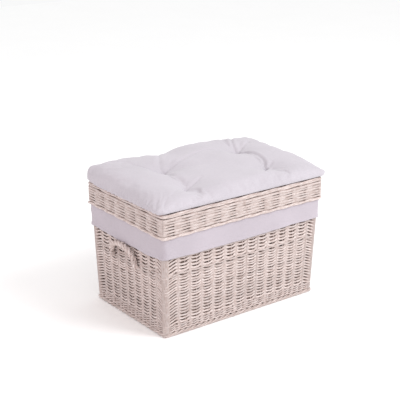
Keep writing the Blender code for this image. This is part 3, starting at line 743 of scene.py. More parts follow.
def make_cuff():
    """The lining's upper edge, turned out over the rim and hanging as a band with a turned hem."""
    cloth = bpy.context.scene.chest_cloth
    rng = np.random.default_rng(61)
    leg = BAG_TOP - 0.0020    # the cuff's inner edge is sewn over the bag's top
    over = RIM_TOP + GAP + CLOTH / 2
    skin = GAP + CLOTH / 2
    # profile inside and over the rim: inset from the outer face, height, and outside corner radius, which
    # is wide inside, where the cloth goes round the corner posts
    inner = WALL + 2 * GAP + CLOTH / 2
    wide = inner + 0.032
    profile = [(inner + 0.0014, leg, wide), (inner + 0.0014, leg + 0.0045, wide),
               (inner + 0.0004, leg + 0.010, wide), (inner, over - 0.0008, wide),
               (inner - 0.001, over, wide - 0.001), (WALL / 2, over + 0.0002, 0.6 * wide),
               (0.0006, over, CORNER), (-skin, over - 0.0012, CORNER)]
    drops = np.concatenate((np.linspace(0.06, 0.84, 11), [0.86, 0.885, 0.93, 0.97, 1.0]))
    loops = []
    base, _outs, run, _length, _share = ring_line(basket_half, lambda turning: RIM_TOP + 0 * turning,
                                                  0.0, step=CUFF_STEP)
    theta = angle_round(base)
    # the hem hangs a little lower along the left end, and rides up at the back left and front right
    near = np.exp(-np.sum((base[:, :2] - base[:, :2].min(0)) ** 2, 1) / 0.05 ** 2)
    far = np.exp(-((base[:, 0] - base[:, 0].min()) ** 2 + (base[:, 1] - base[:, 1].max()) ** 2) / 0.12 ** 2)
    left = np.exp(-((base[:, 0] - base[:, 0].min()) / 0.02) ** 2) * (1 - near)
    right = np.exp(-((base[:, 0] - base[:, 0].max()) ** 2 + (base[:, 1] - base[:, 1].min()) ** 2) / 0.20 ** 2)
    near_rise, left_drop, far_rise, right_rise, unevenness = 0.0010, 0.0045, 0.0030, 0.0065, 0.0008
    hem_z = CUFF_HEM + near_rise * near - left_drop * left + far_rise * far + right_rise * right
    hem_z = hem_z + slow_noise(rng, run, unevenness, 0.23)
    waves = slow_noise(rng, run, 1.0, 0.31) + 0.6 * slow_noise(rng, run, 1.0, 0.083)
    for inset, z, corner in profile:
        points, *_rest = ring_line(basket_half, lambda turning: z + 0 * turning, inset, corner, CUFF_STEP)
        loops.append(points)
    sag = rng.uniform(0, 6.28)
    hem_from, hem_thick = 0.87, 0.0006    # where the turned hem starts, and how far it stands out
    far_pull, near_pull = 0.0021, 0.0012  # depth of the pulls at the back left and front left corners
    for drop in drops:
        z = over - 0.0012 - (over - 0.0012 - hem_z) * drop
        points, outs, *_rest = ring_line(basket_half, lambda turning: RIM_TOP + 0 * turning, 0.0,
                                         step=CUFF_STEP)
        taper = np.array([basket_half(level)[0] - basket_half(RIM_TOP)[0] for level in z])
        slack = drop ** 1.5
        ripples = np.sin(run / 0.021 + 3.4 * np.sin(run * 9 + sag) + 5 * drop)
        fold = cloth.wrinkle * slack * (1 + 0.9 * left) * (0.9 + waves + 0.55 * ripples)
        # pulls that fan out from the two left corners
        fan = np.sin(34 * theta + 9 * drop) * far * far_pull * (1 - 0.4 * drop)
        fan += np.sin(46 * theta - 7 * drop) * near * near_pull
        thick = hem_thick if drop > hem_from else 0.0
        stand = skin + 0.0002 + np.maximum(fold + fan, 0.0) + thick + 0.0004 * drop
        points = points + outs * (stand + taper)[:, None]
        points[:, 2] = z
        loops.append(points)
    count = len(base)
    faces = []
    slit, slit_low = 0.0080, LOOP_LOW - 0.0040    # half width and low end of the hinge loops' slits
    back_from = 0.15          # only the back is slit
    for row in range(len(loops) - 1):
        for i in range(count):
            j = (i + 1) % count
            middle = (loops[row][i] + loops[row][j]) / 2
            across = min(abs(middle[0] - x) for x in LOOPS_X) < slit
            if middle[1] > back_from and across and middle[2] > slit_low:
                continue
            faces.append((row * count + i, row * count + j, (row + 1) * count + j, (row + 1) * count + i))
    obj = sheet_object("turned_out_cuff", np.concatenate(loops), faces, "plain_woven_lining_cotton")
    thicken(obj, CUFF_CLOTH, even=True)
    settle(obj, "basket", ["liner_cuff"])
    return obj


def make_bag():
    """The lining's bag: soft walls that billow a little inwards, and a floor that lies on the base."""
    low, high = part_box("liner_bag")
    inset = WALL + 2 * GAP + CLOTH / 2
    corner = 0.0325 + inset
    floor = low.z + CLOTH
    rows = []
    for z in np.linspace(high.z, floor, 20):
        share = (high.z - z) / (high.z - floor)
        points, outs, run, *_rest = ring_line(basket_half, lambda turning: z + 0 * turning, inset, corner,
                                              BAG_STEP)
        billow = 0.5 + slow_noise(np.random.default_rng(7), run + 0.05 * share, 0.5, 0.26)
        billow += 0.35 * np.sin(run / 0.017 + 2.5 * math.sin(6 * share))
        inward = 0.0004 + 0.0035 * math.sin(math.pi * min(1, share * 1.05)) * np.maximum(billow, 0)
        points = points - outs * inward[:, None]
        rows.append(points)
    rim = rows[-1]
    for share in (0.96, 0.90, 0.80, 0.66, 0.50, 0.34, 0.18):
        ring = rim * [share, share, 1]
        crease = 0.5 + 0.5 * np.sin(ring[:, 0] * 41 + 3 * np.sin(ring[:, 1] * 23))
        ring[:, 2] = floor + 0.0022 * (1 - share) ** 0.3 * crease
        rows.append(ring)
    count = len(rim)
    faces = []
    for row in range(len(rows) - 1):
        for i in range(count):
            j = (i + 1) % count
            faces.append((row * count + i, (row + 1) * count + i, (row + 1) * count + j, row * count + j))
    faces.append([(len(rows) - 1) * count + i for i in range(count)])
    # the outer side is painted dark as the shade seen through the slots; the inner side takes the lining
    # cotton
    obj = sheet_object("lining_bag", np.concatenate(rows), faces, "painted_slot_shade_cotton")
    obj.data.materials.append(finish("plain_woven_lining_cotton"))
    thicken(obj, BAG_CLOTH, even=False, inner_material=1)
    settle(obj, "basket", ["liner_bag"])
    return obj


# ---- handles and hinges -----------------------------------------------------------------------------
def transported(path, first):
    """Sideways directions carried along a path without twist."""
    tangent = unit(np.gradient(path, axis=0))
    across = [unit(first - tangent[0] * np.dot(first, tangent[0]))]
    for t in tangent[1:]:
        across.append(unit(across[-1] - t * np.dot(across[-1], t)))
    across = np.array(across)
    return tangent, across, np.cross(tangent, across)


def smooth_path(points, count):
    """An evenly spaced curve through given points."""
    points = np.asarray(points, float)
    knots = run_along(points)
    fine = np.linspace(0, knots[-1], count)
    padded = np.concatenate((2 * points[:1] - points[1:2], points, 2 * points[-1:] - points[-2:-1]))
    place = np.clip(np.searchsorted(knots, fine, side="right") - 1, 0, len(points) - 2)
    t = ((fine - knots[place]) / (knots[place + 1] - knots[place]))[:, None]
    p0, p1, p2, p3 = (padded[place + k] for k in range(4))
    return 0.5 * (2 * p1 + (p2 - p0) * t + (2 * p0 - 5 * p1 + 4 * p2 - p3) * t ** 2
                  + (3 * p1 - p0 - 3 * p2 + p3) * t ** 3)


def make_handles():
    """A bow of twisted rods on each end, its feet passed into the wall and lashed."""
    settings = bpy.context.scene.chest_handle
    for number, side in enumerate(("left", "right")):
        rng = np.random.default_rng(71 + number)
        low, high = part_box(f"handle_{side}")
        span, middle_y = (high.y - low.y) / 2 - 0.015, 0.008      # the bows sit a little to the back
        foot_z, top_z = low.z + 0.001, high.z - 0.006
        sign = -1 if side == "left" else 1
        # along the wall, out from it, and height; the feet start inside the wall
        outline = [(-span - 0.006, -0.007, foot_z - 0.012), (-span - 0.004, 0.004, foot_z - 0.006)]
        for step in range(9):
            turn = math.pi * step / 8
            lift = math.sin(turn) ** 0.8
            outline.append((-span * math.cos(turn), 0.0074 + 0.0062 * lift, foot_z + (top_z - foot_z) * lift))
        outline += [(span + 0.004, 0.004, foot_z - 0.006), (span + 0.006, -0.007, foot_z - 0.012)]
        centre = smooth_path(outline, 120)
        stand = basket_half(centre[:, 2])[0] + centre[:, 1]
        path = np.stack((sign * stand, centre[:, 0] + middle_y, centre[:, 2]), -1)
        _tangent, across, upward = transported(path, np.array([sign, 0.0, 0.0]))
        run = run_along(path)
        rods = Rods(10)
        spread = settings.strand * 0.50
        for strand in range(3):
            phase = 2 * math.pi * (run / settings.lay + strand / 3)
            tight = np.clip(np.minimum(run, run[-1] - run) / 0.02, 0.35, 1)
            offset = across * (spread * tight * np.cos(phase))[:, None]
            offset += upward * (spread * tight * np.sin(phase))[:, None]
            girth = settings.strand * (1 + slow_noise(rng, run, 0.05, 0.08)) * (0.75 + 0.25 * tight)
            rods.add(path + offset, unit(offset + across * 1e-6), girth * 0.92, girth, rng.uniform(0.4, 1),
                     offset=rng.uniform(0, OFFSETS))
        bind, lash_pitch = settings.strand * 1.02, 0.0032
        # where each lashing starts along the bow, and its turns
        for start, turns in ((0.028, 3), (0.052, 2), (run[-1] - 0.030, 3), (run[-1] * 0.44, 2)):
            place = np.linspace(start, start + turns * lash_pitch, 16 * turns)
            angle = 2 * math.pi * (place - start) / lash_pitch
            middle = np.stack([np.interp(place, run, path[:, k]) for k in range(3)], -1)
            side_way = np.stack([np.interp(place, run, across[:, k]) for k in range(3)], -1)
            up_way = np.stack([np.interp(place, run, upward[:, k]) for k in range(3)], -1)
            out = side_way * np.cos(angle)[:, None] + up_way * np.sin(angle)[:, None]
            rods.add(middle + out * bind, out, 0.0016, 0.0030, rng.uniform(0.6, 1),
                     offset=rng.uniform(0, OFFSETS))
        settle(rods.build(f"twisted_bow_{side}", "limewashed_willow_rod"), "basket", [f"handle_{side}"])


def make_hinges():
    """Three turns of split willow at each hinge, round the lid's rod and under the rim border."""
    outer_y = basket_half(RIM_TOP)[1]
    low = RIM_TOP - WALL
    rod = (HINGE_HIGH.z - HINGE_LOW.z) / 2
    circles = [(HINGE.y, HINGE.z, rod), (outer_y, low, 0.0), (outer_y - WALL, low, 0.0),
               (outer_y - WALL, RIM_TOP, 0.0)]
    skein, width, pitch = 0.0016, 0.0043, 0.0046      # a turn's thickness, width and distance to the next
    for label, x in zip(("left", "right"), LOOPS_X):
        rng = np.random.default_rng(81)
        rods = Rods(8)
        for turn in (-1, 0, 1):
            grow = 0.0018 + 0.0002 * turn
            points = [Vector((y + (r + grow) * math.cos(a), z + (r + grow) * math.sin(a)))
                      for y, z, r in circles for a in np.linspace(0, 2 * math.pi, 24, endpoint=False)]
            hull = [points[i] for i in geometry.convex_hull_2d(points)]
            path = np.array([(x + pitch * turn, p.x, p.y) for p in hull])
            centre = path.mean(0)
            rods.add(path, unit(path - centre), skein, width, rng.uniform(), closed=True,
                     offset=rng.uniform(0, OFFSETS))
        settle(rods.build(f"skein_loop_{label}", "split_willow_skein"), "basket", [f"hinge_loop_{label}"])


# ---- lid ---------------------------------------------------------------------------------------------
LID_SAG = 0.0035          # how far the lid's front left corner hangs down


def lid_sag(x, y):
    """How far the lid's lower edge hangs down towards its front left corner."""
    near = np.exp(-((x + LID_HIGH.x) ** 2 + (y + LID_HIGH.y) ** 2) / 0.16 ** 2)
    return -LID_SAG * near


def make_lid_sides():
    """The lid's four woven sides with its corner sticks, and its edge roll.

    The rows lie close and dive apart at each slot, where an upright shows."""
    lid = bpy.context.scene.chest_lid
    weave = bpy.context.scene.chest_weave
    first, fade_in, fade_out = 0.010, 0.35, 0.10    # first slot from a corner; shares of a slot's width
    for number, side in enumerate(SIDES):
        rng = np.random.default_rng(91 + number)
        z0, z1 = zone(f"lid_weave_{side}")
        z0 = z0 if side == "back" else z0 - 0.0040      # the rows reach down onto the lower border
        rods = Rods(8)
        pitch = (z1 - z0) / lid.rows
        for row in range(lid.rows):
            z_row = z0 + pitch * (row + 0.5)
            _reach, straight = side_reach(side, lid_half, z_row)
            dives = np.arange(first - straight, straight, lid.pitch) + rng.uniform(-0.0015, 0.0015)
            along = side_samples(side, lid_half, z_row)
            dive = np.zeros_like(along)
            for place in dives:
                run = (along - place) / lid.slot + 0.5
                ends = np.clip(np.minimum(run / fade_in, (1.08 - run) / fade_out), 0, 1)
                depth = (0.40 + 0.60 * np.clip(run, 0, 1)) * rng.uniform(0.70, 1.1)
                dive = np.maximum(dive, depth * ends * (0.45 if row == lid.rows - 1 else 1))
            inset = 0.0030 + dive * 0.0018 + slow_noise(rng, along, 0.0003, 0.11)
            z = z_row + slow_noise(rng, along, 0.0006, 0.16) - 0.0007 * dive
            if side == "back" and row == 0:
                lift = sum(bump_at(along, place, 0.014) for place in LOOPS_X)
                z = z + 0.0035 * lift
            turning = corner_share(side, lid_half, z_row, along)
            height = lid.overlap * pitch * rng.uniform(0.97, 1.03) * (1 - 0.40 * dive)
            path, out = side_line(side, lid_half, along, inset, z)
            path[:, 2] += lid_sag(path[:, 0], path[:, 1]) * (z1 - z_row) / (z1 - z0)
            # the lid's rods take the darker half of the random tones, as painted shade, since the lid catches
            # more light than the walls
            rods.add(path, out, weave.rod_depth, height * (1 + 0.05 * turning), rng.uniform(0, 0.5),
                     offset=rng.uniform(0, OFFSETS))
            if row == 0:
                for place in dives:
                    upright(rods, side, lambda z: place, 0.0086, z0 - 0.004, z1 + 0.004, 0.0048, 0.0048, rng,
                            lid_half, 6)
        settle(rods.build(f"lid_rows_{side}", "limewashed_willow_rod"), "lid", [f"lid_weave_{side}"])
    for corner, signs in CORNERS.items():
        rng = np.random.default_rng(101 + 2 * signs[0] + signs[1])
        z0, z1 = zone(f"lid_post_{corner}")
        post_stick(f"lid_corner_{corner}", f"lid_post_{corner}", lid_half, signs, rng, "lid",
                   inset=CORNER - 0.0015, z0=z0, z1=z1, width=0.011)
    rng = np.random.default_rng(111)
    edge = Rods(10)
    z0, z1 = zone("lid_edge")
    rope_ring(edge, rng, lid_half, (z0 + z1) / 2, WALL / 2, strands=3, swing_out=0.0027,
              swing_up=0.0027, depth=0.0070, height=0.0070, lay=0.240)
    settle(edge.build("lid_edge_roll", "limewashed_willow_rod"), "lid", ["lid_edge"])


def rounded_track(corners, radius, step=0.004):
    """Points along a line through corners in a plane, each right angle rounded, and their run."""
    corners = [np.array(c, float) for c in corners]
    line = [corners[0]]
    for before, here, after in zip(corners, corners[1:], corners[2:]):
        into, away = unit(here - before), unit(after - here)
        centre = here - into * radius + away * radius
        for turn in np.linspace(0, math.pi / 2, 8):
            line.append(centre - away * radius * math.cos(turn) + into * radius * math.sin(turn))
    line.append(corners[-1])
    line = np.array(line)
    run = run_along(line)
    fine = np.linspace(0, run[-1], max(2, round(run[-1] / step)))
    return np.stack([np.interp(fine, run, line[:, k]) for k in range(line.shape[1])], -1), fine


def make_lid_border():
    """The two thick rods round the lid's lower edge on three sides, and the hinge rod on the fourth."""
    rng = np.random.default_rng(121)
    low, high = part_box("lid_border")
    radius = (high.z - low.z) / 2
    stand, corner, lay = 0.0018, 0.007, 0.120
    x, y = high.x - radius + stand, -low.y - radius + stand
    line, run = rounded_track([(-x, HINGE.y), (-x, -y), (x, -y), (x, HINGE.y)], corner)
    tangent = unit(np.gradient(line, axis=0))
    out = np.stack((tangent[:, 1], -tangent[:, 0], 0 * run), -1)
    rods = Rods(10)
    for strand in range(2):
        phase = 2 * math.pi * (run / lay + strand / 2)
        path = np.stack((line[:, 0], line[:, 1], low.z + 0.0026 + 0.0012 * np.sin(phase)), -1)
        path = path + out * (0.0024 * np.cos(phase))[:, None]
        path[:, 2] += lid_sag(path[:, 0], path[:, 1])
        girth = 0.0078 * (1 + slow_noise(rng, run, 0.05, 0.3))
        rods.add(path, out, girth, girth, rng.uniform(0.5, 1), offset=rng.uniform(0, OFFSETS))
    settle(rods.build("lid_lower_border", "limewashed_willow_rod"), "lid", ["lid_border"])
    stick = Rods(14)
    width = HINGE_HIGH.z - HINGE_LOW.z
    reach = np.linspace(HINGE_LOW.x, HINGE_HIGH.x, 60)
    path = np.stack((reach, HINGE.y + 0 * reach, HINGE.z + 0 * reach), -1)
    stick.add(path, (0, 1, 0), width, width, 0.6)
    settle(stick.build("lid_turning_rod", "limewashed_willow_stick"), "lid", ["lid_hinge_rod"])


# ---- cushion -----------------------------------------------------------------------------------------
# tuft number: place on the lid and height above it
TUFTS = {1: (-0.155, -0.105, 0.019), 2: (0.157, -0.094, 0.021), 3: (-0.130, 0.040, 0.026),
         4: (0.178, 0.070, 0.026)}
# height of the cushion's seam above the lid
SEAM_RISE = 0.0030
TUFT_REACH = 0.033        # how far round a tuft the cover is drawn down
# folds in the cushion's cover: depth, half width and the points that each runs through
FOLDS = (
    (0.0034, 0.0042, ((-0.130, 0.040), (-0.075, 0.053), (-0.015, 0.073), (0.045, 0.088), (0.100, 0.092),
                      (0.145, 0.084), (0.178, 0.070))),
    (0.0050, 0.0040, ((0.178, 0.070), (0.194, 0.022), (0.186, -0.044), (0.157, -0.094))),
    (0.0036, 0.0042, ((0.157, -0.094), (0.135, -0.122), (0.105, -0.152))),
    (0.0034, 0.0040, ((-0.155, -0.105), (-0.112, -0.096), (-0.070, -0.080))),
    (0.0026, 0.0070, ((-0.130, 0.040), (-0.134, -0.015), (-0.142, -0.060), (-0.155, -0.105))),
    (0.0022, 0.0060, ((-0.155, -0.105), (-0.150, -0.140), (-0.135, -0.170))),
    (0.0026, 0.0055, ((-0.130, 0.040), (-0.118, 0.075), (-0.085, 0.125), (-0.050, 0.175))),
    (0.0045, 0.0042, ((0.178, 0.070), (0.186, 0.092), (0.208, 0.135), (0.240, 0.178))),
    (0.0020, 0.0060, ((0.178, 0.070), (0.182, 0.112), (0.196, 0.160), (0.214, 0.185))),
    (0.0032, 0.0045, ((0.178, 0.070), (0.220, 0.090), (0.262, 0.114), (0.292, 0.130))),
    (0.0030, 0.0040, ((0.157, -0.094), (0.180, -0.088), (0.202, -0.078))),
    (0.0022, 0.0045, ((0.157, -0.094), (0.130, -0.090), (0.104, -0.084))),
    (0.0014, 0.0060, ((-0.240, 0.100), (-0.215, 0.125), (-0.180, 0.140))),
    (0.0012, 0.0060, ((0.230, -0.030), (0.262, -0.020), (0.286, 0.000))),
)


def square_to_pad(u, v, half_x, half_y, radius):
    """Map a square grid onto a rectangle with round corners, ring by ring."""
    ring = np.maximum(np.abs(u), np.abs(v))
    x, y = u * half_x, v * half_y
    r = radius * ring
    cx, cy = half_x * ring - r, half_y * ring - r
    dx, dy = np.maximum(np.abs(x) - cx, 0), np.maximum(np.abs(y) - cy, 0)
    most = np.maximum(dx, dy)
    norm = np.maximum(np.hypot(dx, dy), 1e-9)
    inside = (dx > 0) & (dy > 0)
    x = np.where(inside, np.sign(x) * (cx + dx * most / norm), x)
    y = np.where(inside, np.sign(y) * (cy + dy * most / norm), y)
    return x, y, ring


def pad_rise(x, y, inward):
    """Height of the unfilled cover above its seam: highest along the back, drawn down at the tufts."""
    back = (1 + np.tanh((y - 0.01) / 0.09)) / 2       # nothing along the front, one along the back
    crown = 0.0310 + 0.0150 * back + 0.0055 * bump_at(x, 0.08, 0.09) * back
    # a saddle in the back edge, a swell at the right end, and the back's rise to the left
    crown = crown - 0.0080 * bump_at(x, -0.045, 0.04) * bump_at(y, 0.19, 0.07)
    crown = crown + 0.0040 * bump_at(x, 0.29, 0.07) * bump_at(y, -0.01, 0.11)
    crown = crown + 0.0060 * bump_at(x, -0.21, 0.07) * back - 0.0080 * bump_at(x, 0.30, 0.07) * back
    # the two front corners lie lower
    for end_x in (-0.30, 0.31):
        crown = crown - 0.0085 * np.exp(-((x - end_x) ** 2 + (y + 0.19) ** 2) / 0.06 ** 2)
    # distance from the seam over which the cover climbs, wider along the front
    shoulder = 0.018 + 0.014 * (1 - np.tanh((y + 0.12) / 0.03))
    rise = crown * np.sqrt(1 - (1 - np.clip(inward / shoulder, 0, 1)) ** 2)
    for tuft_x, tuft_y, height in TUFTS.values():
        pull = np.exp(-(np.hypot(x - tuft_x, (y - tuft_y) * 1.15) / TUFT_REACH) ** 1.2)
        rise = rise * (1 - pull) + (height - SEAM_RISE) * pull
    return rise


def make_cushion():
    """A seat pad of two cotton panels sewn together at the edge, filled and tied down at four tufts."""
    cloth = bpy.context.scene.chest_cloth
    low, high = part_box("cushion")
    base, overhang, corner = low.z, 0.0140, 0.020     # overhang at the right end
    half_x, half_y = high.x + 0.0065, high.y + 0.0035     # the filled cover bulges past its stand-in
    nx, ny = 130, 88
    bunch = 0.25              # how much closer the grid lies towards the seam
    u, v = np.meshgrid(np.linspace(-1, 1, nx + 1), np.linspace(-1, 1, ny + 1), indexing="ij")
    u, v = u * (1 + bunch - bunch * u ** 2), v * (1 + bunch - bunch * v ** 2)
    x, y, ring = square_to_pad(u, v, half_x, half_y, corner)
    past_x, past_y = np.abs(x) - half_x + corner, np.abs(y) - half_y + corner
    inward = corner - np.minimum(np.maximum(past_x, past_y), 0) - np.hypot(np.maximum(past_x, 0),
                                                                            np.maximum(past_y, 0))
    x = x + overhang * np.clip(x / half_x, 0, 1) ** 3
    # the back left corner curls up off the lid
    curl_rise, curl_reach, belly_out = 0.0130, 0.036, 0.0040
    curl = curl_rise * np.exp(-((x + half_x) ** 2 + (y - half_y) ** 2) / curl_reach ** 2)
    seam = base + SEAM_RISE + curl
    edge = np.isclose(ring, 1)
    top = seam + pad_rise(x, y, inward) - 0.85 * curl
    bottom = seam - SEAM_RISE * np.clip(inward / 0.004, 0, 1)
    index_top = np.arange((nx + 1) * (ny + 1)).reshape(nx + 1, ny + 1)
    index_bottom = index_top.copy()
    free = ~edge
    index_bottom[free] = index_top.size + np.arange(free.sum())
    belly = belly_out * np.sin(math.pi * np.clip(inward / 0.020, 0, 1) ** 0.5)
    belly = belly[..., None] * unit(np.stack(((x / half_x) ** 9, (y / half_y) ** 9), -1))
    points = np.concatenate((np.stack((x + belly[..., 0], y + belly[..., 1], top), -1).reshape(-1, 3),
                             np.stack((x, y, bottom), -1)[free]))
    faces = []
    for i in range(nx):
        for j in range(ny):
            corners = ((i, j), (i + 1, j), (i + 1, j + 1), (i, j + 1))
            faces.append([int(index_top[a, b]) for a, b in corners])
            faces.append([int(index_bottom[a, b]) for a, b in corners[:1] + corners[:0:-1]])
    obj = sheet_object("tufted_cushion", points, faces, "plain_woven_cushion_cotton")
    pins = obj.vertex_groups.new(name="held")
    flat_x, flat_y = x.ravel(), y.ravel()
    for tuft_x, tuft_y, height in TUFTS.values():
        nearest = int(np.argmin((flat_x - tuft_x) ** 2 + (flat_y - tuft_y) ** 2))
        obj.data.vertices[nearest].co.z = base + height
        pins.add([nearest], 1.0, "REPLACE")
    pins.add([int(k) for k in index_bottom[free | edge]], 1.0, "REPLACE")
    blow_up(obj, cloth.pressure)
    round_off = obj.modifiers.new("soften", "SUBSURF")
    round_off.levels = round_off.render_levels = 1
    bake_modifiers(obj)
    fold_cover(obj, base)
    settle(obj, "lid", ["cushion"])


def blow_up(obj, pressure, frames=20, cap=0.010):
    """Fill the sewn panels by cloth simulation, and keep the shape, no point moved further than the cap."""
    start = np.array([v.co for v in obj.data.vertices])
    cloth = obj.modifiers.new("filling", "CLOTH")
    settings = cloth.settings
    settings.quality = 7
    settings.mass = 0.25
    settings.tension_stiffness = 14
    settings.compression_stiffness = 10
    settings.shear_stiffness = 5
    settings.bending_stiffness = 0.3
    settings.vertex_group_mass = "held"
    settings.use_pressure = True
    settings.uniform_pressure_force = pressure
    settings.shrink_min = -0.02
    settings.effector_weights.gravity = 0
    cloth.collision_settings.use_collision = False
    scene = bpy.context.scene
    cloth.point_cache.frame_start, cloth.point_cache.frame_end = 1, frames
    for number in range(1, frames + 1):
        scene.frame_set(number)
    bake_modifiers(obj)
    scene.frame_set(1)
    move = np.array([v.co for v in obj.data.vertices]) - start
    far = np.linalg.norm(move, axis=1, keepdims=True)
    points = start + move * cap * np.tanh(far / cap) / np.maximum(far, 1e-9)
    obj.data.vertices.foreach_set("co", points.astype(np.float32).ravel())


def fold_cover(obj, base):
    """Press the folds and the seam's puckers into the filled cover, and rest its underside flat."""
    points = np.array([v.co for v in obj.data.vertices])
    x, y, z = points.T
    upper = np.clip((z - base - 0.012) / 0.010, 0, 1)
    samples, deep = 60, 0.0040      # folds shallower than deep fade out towards their last point
    for depth, width, line in FOLDS:
        line = smooth_path([(px, py, 0) for px, py in line], samples)[:, :2]
        away = np.hypot(x[:, None] - line[None, :, 0], y[:, None] - line[None, :, 1])
        share = away.argmin(1) / (samples - 1)
        fade = np.minimum(1, 3.5 * (1 - share)) if depth < deep else 1
        distance = away.min(1)
        shoulder = 0.25 * np.exp(-((distance - 2.6 * width) / (1.3 * width)) ** 2)
        z = z - depth * upper * fade * (np.exp(-(distance / width) ** 1.3) - shoulder)
    # puckers where the cover is gathered into its seam, fainter along the front and back
    edge_x = np.clip((np.abs(x) - 0.262) / 0.035, 0, 1)
    edge_y = np.clip((np.abs(y) - 0.158) / 0.030, 0, 1)
    low_part = np.clip(1 - (z - base) / 0.032, 0, 1)
    ridge = np.sin(y / 0.0026 + 2.2 * np.sin(y / 0.017) + 0.8) * edge_x
    ridge_front = 0.5 * np.sin(x / 0.0034 + 2.0 * np.sin(x / 0.023)) * edge_y
    end_lift, front_lift, end_out = 0.0009, 0.0006, 0.0022
    z = z + (end_lift * ridge + front_lift * ridge_front) * low_part * (z > base + 0.004)
    x = x + end_out * np.sign(x) * ridge * low_part
    z = np.maximum(z, base + 0.0002)
    obj.data.vertices.foreach_set("co", np.stack((x, y, z), -1).astype(np.float32).ravel())
    obj.data.update()
    obj.data.shade_smooth()


def make_tufts():
    """Four small crossed stitches of stout thread, each with the stem that pulls it down."""
    stem_width, thread, reach = 0.0022, 0.0012, 0.0030
    for number, (x, y, rise) in TUFTS.items():
        base, _top = zone(f"tuft_tie_{number}")
        rng = np.random.default_rng(131 + number)
        rods = Rods(8)
        z = base + rise + 0.0006
        stem = np.array([(x, y, base), (x, y, base + rise * 0.5), (x, y, z)])
        rods.add(stem, (1, 0, 0), stem_width, stem_width, 0.5)
        for angle in (0.5, 1.3, 2.2):
            t = np.linspace(-1, 1, 9)
            way = np.array([math.cos(angle), math.sin(angle), 0])
            path = np.array([x, y, z]) + t[:, None] * way * reach
            path[:, 2] += 0.0014 * (1 - t ** 2) - 0.0008 * np.abs(t)
            rods.add(path, (0, 0, 1), thread, thread, rng.uniform())
        settle(rods.build(f"tuft_stitch_{number}", "twisted_cotton_thread"), "lid", [f"tuft_tie_{number}"])


# ---- stage -------------------------------------------------------------------------------------------
def make_stage():
    """The floor, the camera, the white room and its two soft lights."""
    stage = bpy.context.scene.chest_stage
    mesh = bpy.data.meshes.new("floor")
    reach, light_aim = 6, Vector((0, 0, 0.2))
    mesh.from_pydata([(-reach, -reach, 0), (reach, -reach, 0), (reach, reach, 0), (-reach, reach, 0)], [],
                     [(0, 1, 2, 3)])
    mesh.materials.append(finish("matt_paper_floor"))
    floor = add_object("floor", mesh)

    azimuth, elevation = stage.azimuth, stage.elevation
    back = Vector((math.sin(azimuth) * math.cos(elevation), -math.cos(azimuth) * math.cos(elevation),
                   math.sin(elevation)))
    rightward = Vector((math.cos(azimuth), math.sin(azimuth), 0))
    camera = add_object("camera", bpy.data.cameras.new("camera"))
    camera.data.lens = stage.lens
    camera.data.sensor_width = 36
    camera.location = Vector((0, 0, stage.aim_height)) + rightward * stage.aim_shift + back * stage.distance
    camera.rotation_euler = back.to_track_quat("Z", "Y").to_euler()
    bpy.context.scene.camera = camera

    bpy.context.scene.view_settings.view_transform = "Standard"
    world = bpy.data.worlds.new("white_room")
    world.use_nodes = True
    world.node_tree.nodes["Background"].inputs[0].default_value = (1, 1, 1, 1)
    world.node_tree.nodes["Background"].inputs[1].default_value = stage.fill
    bpy.context.scene.world = world
    for name, place, size, power, tint in (("key", (1.3, -2.2, 2.6), 1.6, stage.key, (1, 1, 1)),
                                           ("side", (-2.6, -0.8, 1.6), 2.0, stage.key * 0.2, (1, 0.7, 0.7))):
        lamp = bpy.data.lights.new(name, "AREA")
        lamp.color = tint
        lamp.energy = power
        lamp.size = size
        light = add_object(name, lamp)
        light.location = place
        light.rotation_euler = (Vector(place) - light_aim).to_track_quat("Z", "Y").to_euler()


# ---- operators, panel and registration --------------------------------------------------------------
class CHEST_OT_stage(Operator):
    """Set up the floor, the soft light and the camera"""
    bl_idname = "chest.stage"
    bl_label = "Stage"

    def execute(self, context):
        make_stage()
        return {"FINISHED"}


class CHEST_OT_foot(Operator):
    """Make the foot border and the tight rows above it"""
    bl_idname = "chest.foot"
    bl_label = "Foot"

    def execute(self, context):
        make_foot()
        return {"FINISHED"}


class CHEST_OT_walls(Operator):
    """Weave the walls and the band between their close and open rows"""
    bl_idname = "chest.walls"
    bl_label = "Walls"

    def execute(self, context):
        make_walls()
        make_mid_wale()
        return {"FINISHED"}


class CHEST_OT_uprights(Operator):
    """Set the uprights, their border and the corner posts"""
    bl_idname = "chest.uprights"
    bl_label = "Uprights"

    def execute(self, context):
        make_uprights()
        return {"FINISHED"}


class CHEST_OT_base(Operator):
    """Weave the base on its sticks"""
    bl_idname = "chest.base"
    bl_label = "Base"

    def execute(self, context):
        flat_weave("base_weave_strands", "base_weave", "base_stick", 5, BASE_STRAND, 131, "basket")
        return {"FINISHED"}


class CHEST_OT_lining(Operator):
    """Hang the lining's bag and turn its cuff out over the rim"""
    bl_idname = "chest.lining"
    bl_label = "Lining"

    def execute(self, context):
        make_cuff()
        make_bag()
        return {"FINISHED"}


class CHEST_OT_hinges(Operator):
    """Tie the lid's rod to the rim with split willow"""
    bl_idname = "chest.hinges"
    bl_label = "Hinges"

    def execute(self, context):
        make_hinges()
        return {"FINISHED"}


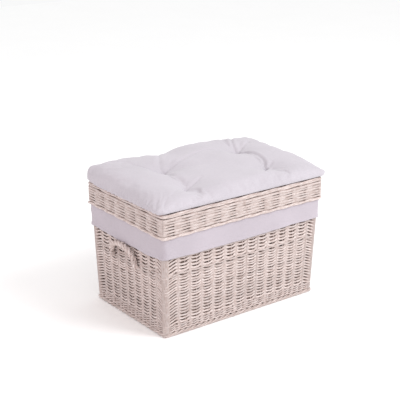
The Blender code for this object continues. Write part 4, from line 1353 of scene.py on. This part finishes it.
class CHEST_OT_handles(Operator):
    """Twist and lash the bow on each end"""
    bl_idname = "chest.handles"
    bl_label = "Handles"

    def execute(self, context):
        make_handles()
        return {"FINISHED"}


class CHEST_OT_lid(Operator):
    """Weave the lid's sides and top, with its borders and turning rod"""
    bl_idname = "chest.lid"
    bl_label = "Lid"

    def execute(self, context):
        make_lid_sides()
        make_lid_border()
        strand = context.scene.chest_lid.strand
        flat_weave("lid_top_strands", "lid_top_weave", "lid_stick", 5, strand, 141, "lid")
        return {"FINISHED"}


class CHEST_OT_cushion(Operator):
    """Sew, fill and tuft the cushion"""
    bl_idname = "chest.cushion"
    bl_label = "Cushion"

    def execute(self, context):
        make_cushion()
        make_tufts()
        return {"FINISHED"}


OPERATORS = (CHEST_OT_stage, CHEST_OT_foot, CHEST_OT_walls, CHEST_OT_uprights, CHEST_OT_base,
             CHEST_OT_lining, CHEST_OT_hinges, CHEST_OT_handles, CHEST_OT_lid, CHEST_OT_cushion)


class CHEST_PT_parts(Panel):
    """Lists the chest's pieces and their settings"""
    bl_idname = "CHEST_PT_parts"
    bl_label = "Willow laundry chest"
    bl_space_type = "VIEW_3D"
    bl_region_type = "UI"
    bl_category = "Chest"

    def draw(self, context):
        for operator in OPERATORS:
            self.layout.operator(operator.bl_idname)
        for name, group in GROUPS.items():
            box = self.layout.box()
            settings = getattr(context.scene, name)
            for key in group.__annotations__:
                box.prop(settings, key)


def register():
    """Register the settings, the operators and the panel."""
    for group in GROUPS.values():
        bpy.utils.register_class(group)
    for name, group in GROUPS.items():
        setattr(bpy.types.Scene, name, PointerProperty(type=group))
    for operator in OPERATORS:
        bpy.utils.register_class(operator)
    bpy.utils.register_class(CHEST_PT_parts)


def unregister():
    """Undo register."""
    bpy.utils.unregister_class(CHEST_PT_parts)
    for operator in reversed(OPERATORS):
        bpy.utils.unregister_class(operator)
    for name, group in GROUPS.items():
        delattr(bpy.types.Scene, name)
        bpy.utils.unregister_class(group)


def main():
    """Make every piece through its operator."""
    register()
    for operator in OPERATORS:
        group, call = operator.bl_idname.split(".")
        getattr(getattr(bpy.ops, group), call)()


if __name__ == "__main__":
    main()
